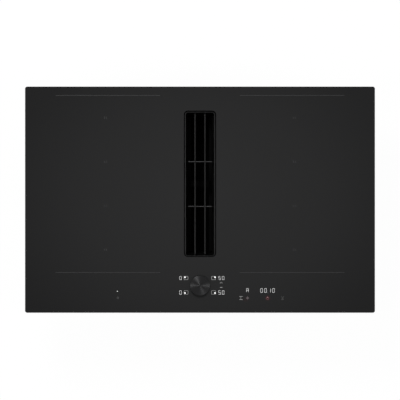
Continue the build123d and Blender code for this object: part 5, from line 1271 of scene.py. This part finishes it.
def knob_top():
    """Turned cap: a shell of (radius, height) points turned about the knob's axis. The dome
    is a parabola, top - dome (r / R)^2, the rim a small quarter round, and the side below it
    flares a little to the foot."""
    low, top = CAP_LOW[2], CAP_HIGH[2]
    outer = (CAP_HIGH[0] - CAP_LOW[0]) / 2
    flat_r = outer - KNOB_FLARE - KNOB_EDGE
    radius = np.linspace(0, flat_r, KNOB_RINGS)
    dome = np.stack([radius, top - KNOB_DOME * (radius / flat_r) ** 2], -1)
    angle = np.radians(np.linspace(KNOB_EDGE_ARC, 0, 7))
    rim = top - KNOB_DOME - KNOB_EDGE
    edge = np.stack([flat_r + KNOB_EDGE * np.cos(angle), rim + KNOB_EDGE * np.sin(angle)], -1)
    foot = [(outer, low + KNOB_FOOT[1]), (outer - KNOB_FOOT[0], low)]
    roof, wall = top - KNOB_DOME - KNOB_WALL, outer - KNOB_WALL
    inside = [(wall, low), (wall - KNOB_INNER_DRAFT, roof - KNOB_INNER_ROUND),
              (wall - KNOB_INNER_DRAFT - KNOB_INNER_ROUND, roof), (0, roof)]
    profile = np.concatenate([dome, edge, foot, inside])
    points, faces = turned(profile, 0, KNOB_Y, KNOB_STEPS)
    # The faces below the rim take the black side finish, which is partly painted shade round the
    # knob.
    below = np.arange(len(profile) - 3) >= len(dome) + len(edge) - 2
    on_side = np.concatenate([np.repeat(below, KNOB_STEPS), np.repeat([False, True], KNOB_STEPS)])
    cap = piece("turned_knob_cap", points, faces, [KNOB_METAL, KNOB_SIDE_AND_SHADE], "knob",
                sharp=40.0, marks=on_side)
    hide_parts("knob_cap")


# ------------------------------------------------------------------ coils

COIL_CORNER = 44.0
COIL_BAND = 32.0
COIL_TURNS = 10
WIRE_GAP = 0.1
WIRE_SIDES = 10
STRAND_LAY = 9.0
STRANDS_ROUND = 7.0


def litz_winding(node):
    """A flat oval spiral of litz wire in a packed winding's place. A point of the spiral is the
    oval's edge moved inwards along its normal, by half a wire and one pitch for each turn, in
    step with the length run along the edge. The wire's section is an ellipse set square to the
    edge. The UV map counts the strands: along the wire by their lay, and round it."""
    low, high = box_mm(node)
    middle = (low + high) / 2
    edge, out = rounded_loop(*(high - low)[:2], COIL_CORNER, 9, *middle[:2])
    step = np.linalg.norm(np.roll(edge, -1, axis=0) - edge, axis=1)
    turn = np.concatenate([[0], np.cumsum(step)[:-1]]) / step.sum()
    rings = COIL_TURNS * len(edge) - len(edge) // 2
    at = np.arange(rings) % len(edge)
    turns = np.arange(rings) // len(edge) + turn[at]
    pitch = COIL_BAND / COIL_TURNS
    wide, tall = pitch / 2 - WIRE_GAP / 2, (high[2] - low[2]) / 2
    inset = pitch / 2 + np.clip(turns, 0, COIL_TURNS - 1) * pitch
    spine = edge[at] - out[at] * inset[:, None]
    angle = np.arange(WIRE_SIDES) * 2 * np.pi / WIRE_SIDES
    flat = spine[:, None] + out[at][:, None] * (wide * np.cos(angle))[None, :, None]
    height = np.broadcast_to(middle[2] + tall * np.sin(angle), flat.shape[:2])
    points = np.concatenate([flat, height[..., None]], -1)
    walls = tube_faces(rings, WIRE_SIDES, close_rows=False)
    index = np.arange(rings * WIRE_SIDES).reshape(rings, WIRE_SIDES)
    wound = piece(node.replace("coil", "litz"), points.reshape(-1, 3),
                  [walls, index[:1, ::-1], index[-1:]], LITZ, "cooktop", sharp=60.0)
    run = np.concatenate([[0], np.cumsum(np.linalg.norm(np.diff(spine, axis=0), axis=1))])
    row, column = np.divmod(np.arange(len(walls)), WIRE_SIDES)
    along = run[row[:, None] + [0, 0, 1, 1]] / STRAND_LAY
    around = (column[:, None] + [0, 1, 1, 0]) / WIRE_SIDES * STRANDS_ROUND
    caps = np.zeros(2 * WIRE_SIDES)
    strand = np.stack([np.concatenate([v.ravel(), caps]) for v in (along, around)], -1)
    layer = wound.data.uv_layers.new(name="strand")
    layer.data.foreach_set("uv", strand.ravel().astype(np.float32))
    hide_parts(node)


def litz_windings():
    """All eight windings."""
    for side in ("left", "right"):
        for number in range(COILS_A_SIDE):
            litz_winding(f"coil_winding_{side}_{number + 1}")


# ------------------------------------------------------------------ finishes of the pieces

GLASS = polished_glass()
EDGE = ground_edge()
INK = ceramic_ink("Grey ceramic ink, zone lines", (0.0152, 0.0152, 0.0161),
                  (0.0243, 0.0243, 0.0252))
MARK_INK = ceramic_ink("Grey ceramic ink, pan marks", (0.022, 0.022, 0.023), (0.038, 0.038, 0.039))
LIT_WHITE = lit_mark("Lit white figures", (0.97, 0.97, 0.97), 1.05)
LIT_BRIGHT = lit_mark("Lit white dots", (1.0, 1.0, 1.0), 1.6)
LIT_FRAME = lit_mark("Lit frames, back zones", (0.94, 0.94, 0.93), 0.55)
LIT_DIM = lit_mark("Lit grey frames and signs", (0.93, 0.93, 0.92), 0.42)
LIT_FAINT = lit_mark("Faintly lit signs", (0.92, 0.92, 0.91), 0.13)
LIT_ROSE = lit_mark("Lit rose star", (0.9, 0.74, 0.78), 0.11)
LIT_RED = lit_mark("Lit red clock", (1.0, 0.36, 0.4), 0.2)
LIT_PINK = lit_mark("Lit pink clock hands", (1.0, 0.66, 0.7), 0.42)
# The slats' black enamel; on the bars' low ends it is painted shade.
GRILLE_ENAMEL_AND_SHADE = enamel("Black satin enamel", (0.0014, 0.0014, 0.0015),
                       (0.0032, 0.0032, 0.0033), 0.42, 0.14)
RING_ENAMEL = enamel("Black satin enamel, ring", (0.0022, 0.0022, 0.0023),
                     (0.0048, 0.0048, 0.0050), 0.38, 0.19)
BAR_ENAMEL = enamel("Grey satin enamel", (0.011, 0.011, 0.0115), (0.018, 0.018, 0.0185), 0.3, 0.45)
KNOB_METAL = turned_metal("Dark circular-turned metal", (0.0178, 0.0178, 0.0185),
                          (0.0320, 0.0320, 0.0329), 0.45, KNOB_Y, 0.95)
# The knob's side is black anodising, and is also darkened as painted shade round the knob's foot.
KNOB_SIDE_AND_SHADE = turned_metal("Black anodised knob side, darkened as painted shade", (0.005, 0.005, 0.0052),
                         (0.009, 0.009, 0.0093), 0.45, KNOB_Y, 0.6)

# The inlet and the basket are black plastic made darker than any real black, as painted shade of
# the deep vent.
BLACK_WELL_AND_SHADE = moulded("Black moulded inlet, darkened as painted shade", (0.0005, 0.0005, 0.0005), (0.0012, 0.0012, 0.0012),
                    0.85, specular=0.015)
BLACK_BASKET_AND_SHADE = moulded("Black moulded basket, darkened as painted shade", (0.0006, 0.0006, 0.0006), (0.0014, 0.0014, 0.0014),
                      0.75, specular=0.025)
BLACK_MOULDED = moulded("Black moulded housing", (0.022, 0.022, 0.023), (0.040, 0.040, 0.042), 0.5)
GREY_MOULDED = moulded("Grey moulded tank", (0.26, 0.265, 0.27), (0.34, 0.345, 0.35), 0.42)
WHEEL_MOULDED = moulded("Dark grey moulded wheel", (0.06, 0.062, 0.065), (0.09, 0.093, 0.096), 0.4)
KNOB_MOULDED = moulded("Black moulded knob base", (0.018, 0.018, 0.018), (0.032, 0.032, 0.032),
                       0.4, grain=1800.0)
WHITE_MOULDED = moulded("White moulded parts", (0.62, 0.62, 0.6), (0.74, 0.74, 0.72), 0.45)
CREAM_MOULDED = moulded("Off-white heat-proof moulding", (0.5, 0.46, 0.37), (0.64, 0.6, 0.5), 0.55)
FAN_MOULDED = moulded("Black fan moulding", (0.02, 0.02, 0.021), (0.035, 0.035, 0.037), 0.35)
COMPONENT = moulded("Grey electronic parts", (0.05, 0.05, 0.055), (0.11, 0.11, 0.115), 0.35)
RUBBER = moulded("Black rubber bushes", (0.012, 0.012, 0.012), (0.024, 0.024, 0.024), 0.75)
GALVANISED = galvanised("Galvanised sheet steel")
BUFFER_RUBBER = moulded("Black rubber buffers", (0.0012, 0.0012, 0.0012), (0.0025, 0.0025, 0.0025),
                        0.75, specular=0.08)
# The filter mesh is a black coating made near black, as painted shade inside the vent.
COATED_MESH_AND_SHADE = enamel("Black coated filter mesh, darkened as painted shade", (0.0008, 0.0008, 0.0008), (0.0020, 0.0020, 0.0021),
                    0.65, 0.045)
ALUMINIUM = metal("Mill-finish aluminium", (0.56, 0.57, 0.58), (0.7, 0.71, 0.72), 0.36, 900.0,
                  stretch=(1.0, 0.02, 1.0))
SPRING = metal("Bright spring steel", (0.48, 0.48, 0.47), (0.64, 0.64, 0.63), 0.25, 1200.0,
               stretch=(1.0, 1.0, 0.03))
ZINC = metal("Zinc-plated screws", (0.45, 0.46, 0.47), (0.62, 0.63, 0.64), 0.3, 1500.0)
MOTOR_STEEL = metal("Zinc-plated motor steel", (0.32, 0.33, 0.34), (0.46, 0.47, 0.48), 0.34,
                    800.0, stretch=(1.0, 1.0, 0.05))
NICKEL = metal("Nickel-plated magnets", (0.52, 0.51, 0.49), (0.66, 0.65, 0.63), 0.18, 1500.0)
FERRITE = moulded("Sintered ferrite", (0.03, 0.03, 0.032), (0.055, 0.055, 0.058), 0.6,
                  grain=2500.0)
SEAL_FOAM = foam("Closed-cell foam seal", (0.008, 0.008, 0.008), (0.022, 0.022, 0.022))
FELT_PAD = fibre_felt("Soft glide felt", (0.02, 0.02, 0.02), (0.05, 0.05, 0.05))
CERAMIC_FELT = fibre_felt("Ceramic-fibre felt", (0.6, 0.58, 0.53), (0.8, 0.79, 0.75))
BOARD = circuit_board("Green circuit board")
LITZ = litz_copper("Enamelled copper litz")

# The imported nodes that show, by finish
NODES_OF = (
    (SEAL_FOAM, "perimeter_seal", "inlet_seal"),
    # The chimney, basket and filters get near-black finishes that are partly painted shade of the
    # vent.
    (BLACK_WELL_AND_SHADE, "inlet_chimney"),
    (BLACK_BASKET_AND_SHADE, "filter_basket"),
    (COATED_MESH_AND_SHADE, "grease_filter_left", "grease_filter_right"),
    (FELT_PAD, "knob_foot"),
    (NICKEL, "knob_pivot", "knob_magnets", "knob_dock"),
    (KNOB_MOULDED, "knob_base"),
    (GALVANISED, "casing_tray"),
    (SPRING, "worktop_springs"),
    (CREAM_MOULDED, "coil_formers", "pan_sensors"),
    (FERRITE, "coil_ferrites"),
    (CERAMIC_FELT, "insulation_mats"),
    (ALUMINIUM, "coil_plate_left", "coil_plate_right", "heatsink_left", "heatsink_right"),
    (BOARD, "inverter_board_left", "inverter_board_right", "control_board"),
    (COMPONENT, "power_components_left", "power_components_right", "display_modules"),
    (FAN_MOULDED, "cooling_fan_frame_left", "cooling_fan_frame_right"),
    (FAN_MOULDED, "cooling_fan_rotor_left", "cooling_fan_rotor_right"),
    (FAN_MOULDED, "control_carrier", "terminal_box", "terminal_cover"),
    (WHITE_MOULDED, "support_posts", "control_frame", "terminal_fittings"),
    (BLACK_MOULDED, "vent_housing_upper", "vent_housing_lower", "scroll_cover", "outlet_spigot"),
    (GREY_MOULDED, "overflow_tank"),
    (MOTOR_STEEL, "blower_motor_base", "blower_rotor"),
    (RUBBER, "blower_bushes"),
    (WHEEL_MOULDED, "blower_wheel"),
    (ZINC, "blower_bearings", "casing_screws", "housing_screws"),
)


def finish_nodes():
    """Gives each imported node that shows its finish."""
    for finish, *names in NODES_OF:
        for name in names:
            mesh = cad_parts[name].data
            mesh.materials.clear()
            mesh.materials.append(finish)


camera()
picture()
studio()
finish_nodes()
glass_sheet()
zone_lines()
pan_marks()
zone_figures()
zone_icons()
timer_figures()
function_signs()
side_signs()
cast_grille()
knob_top()
litz_windings()
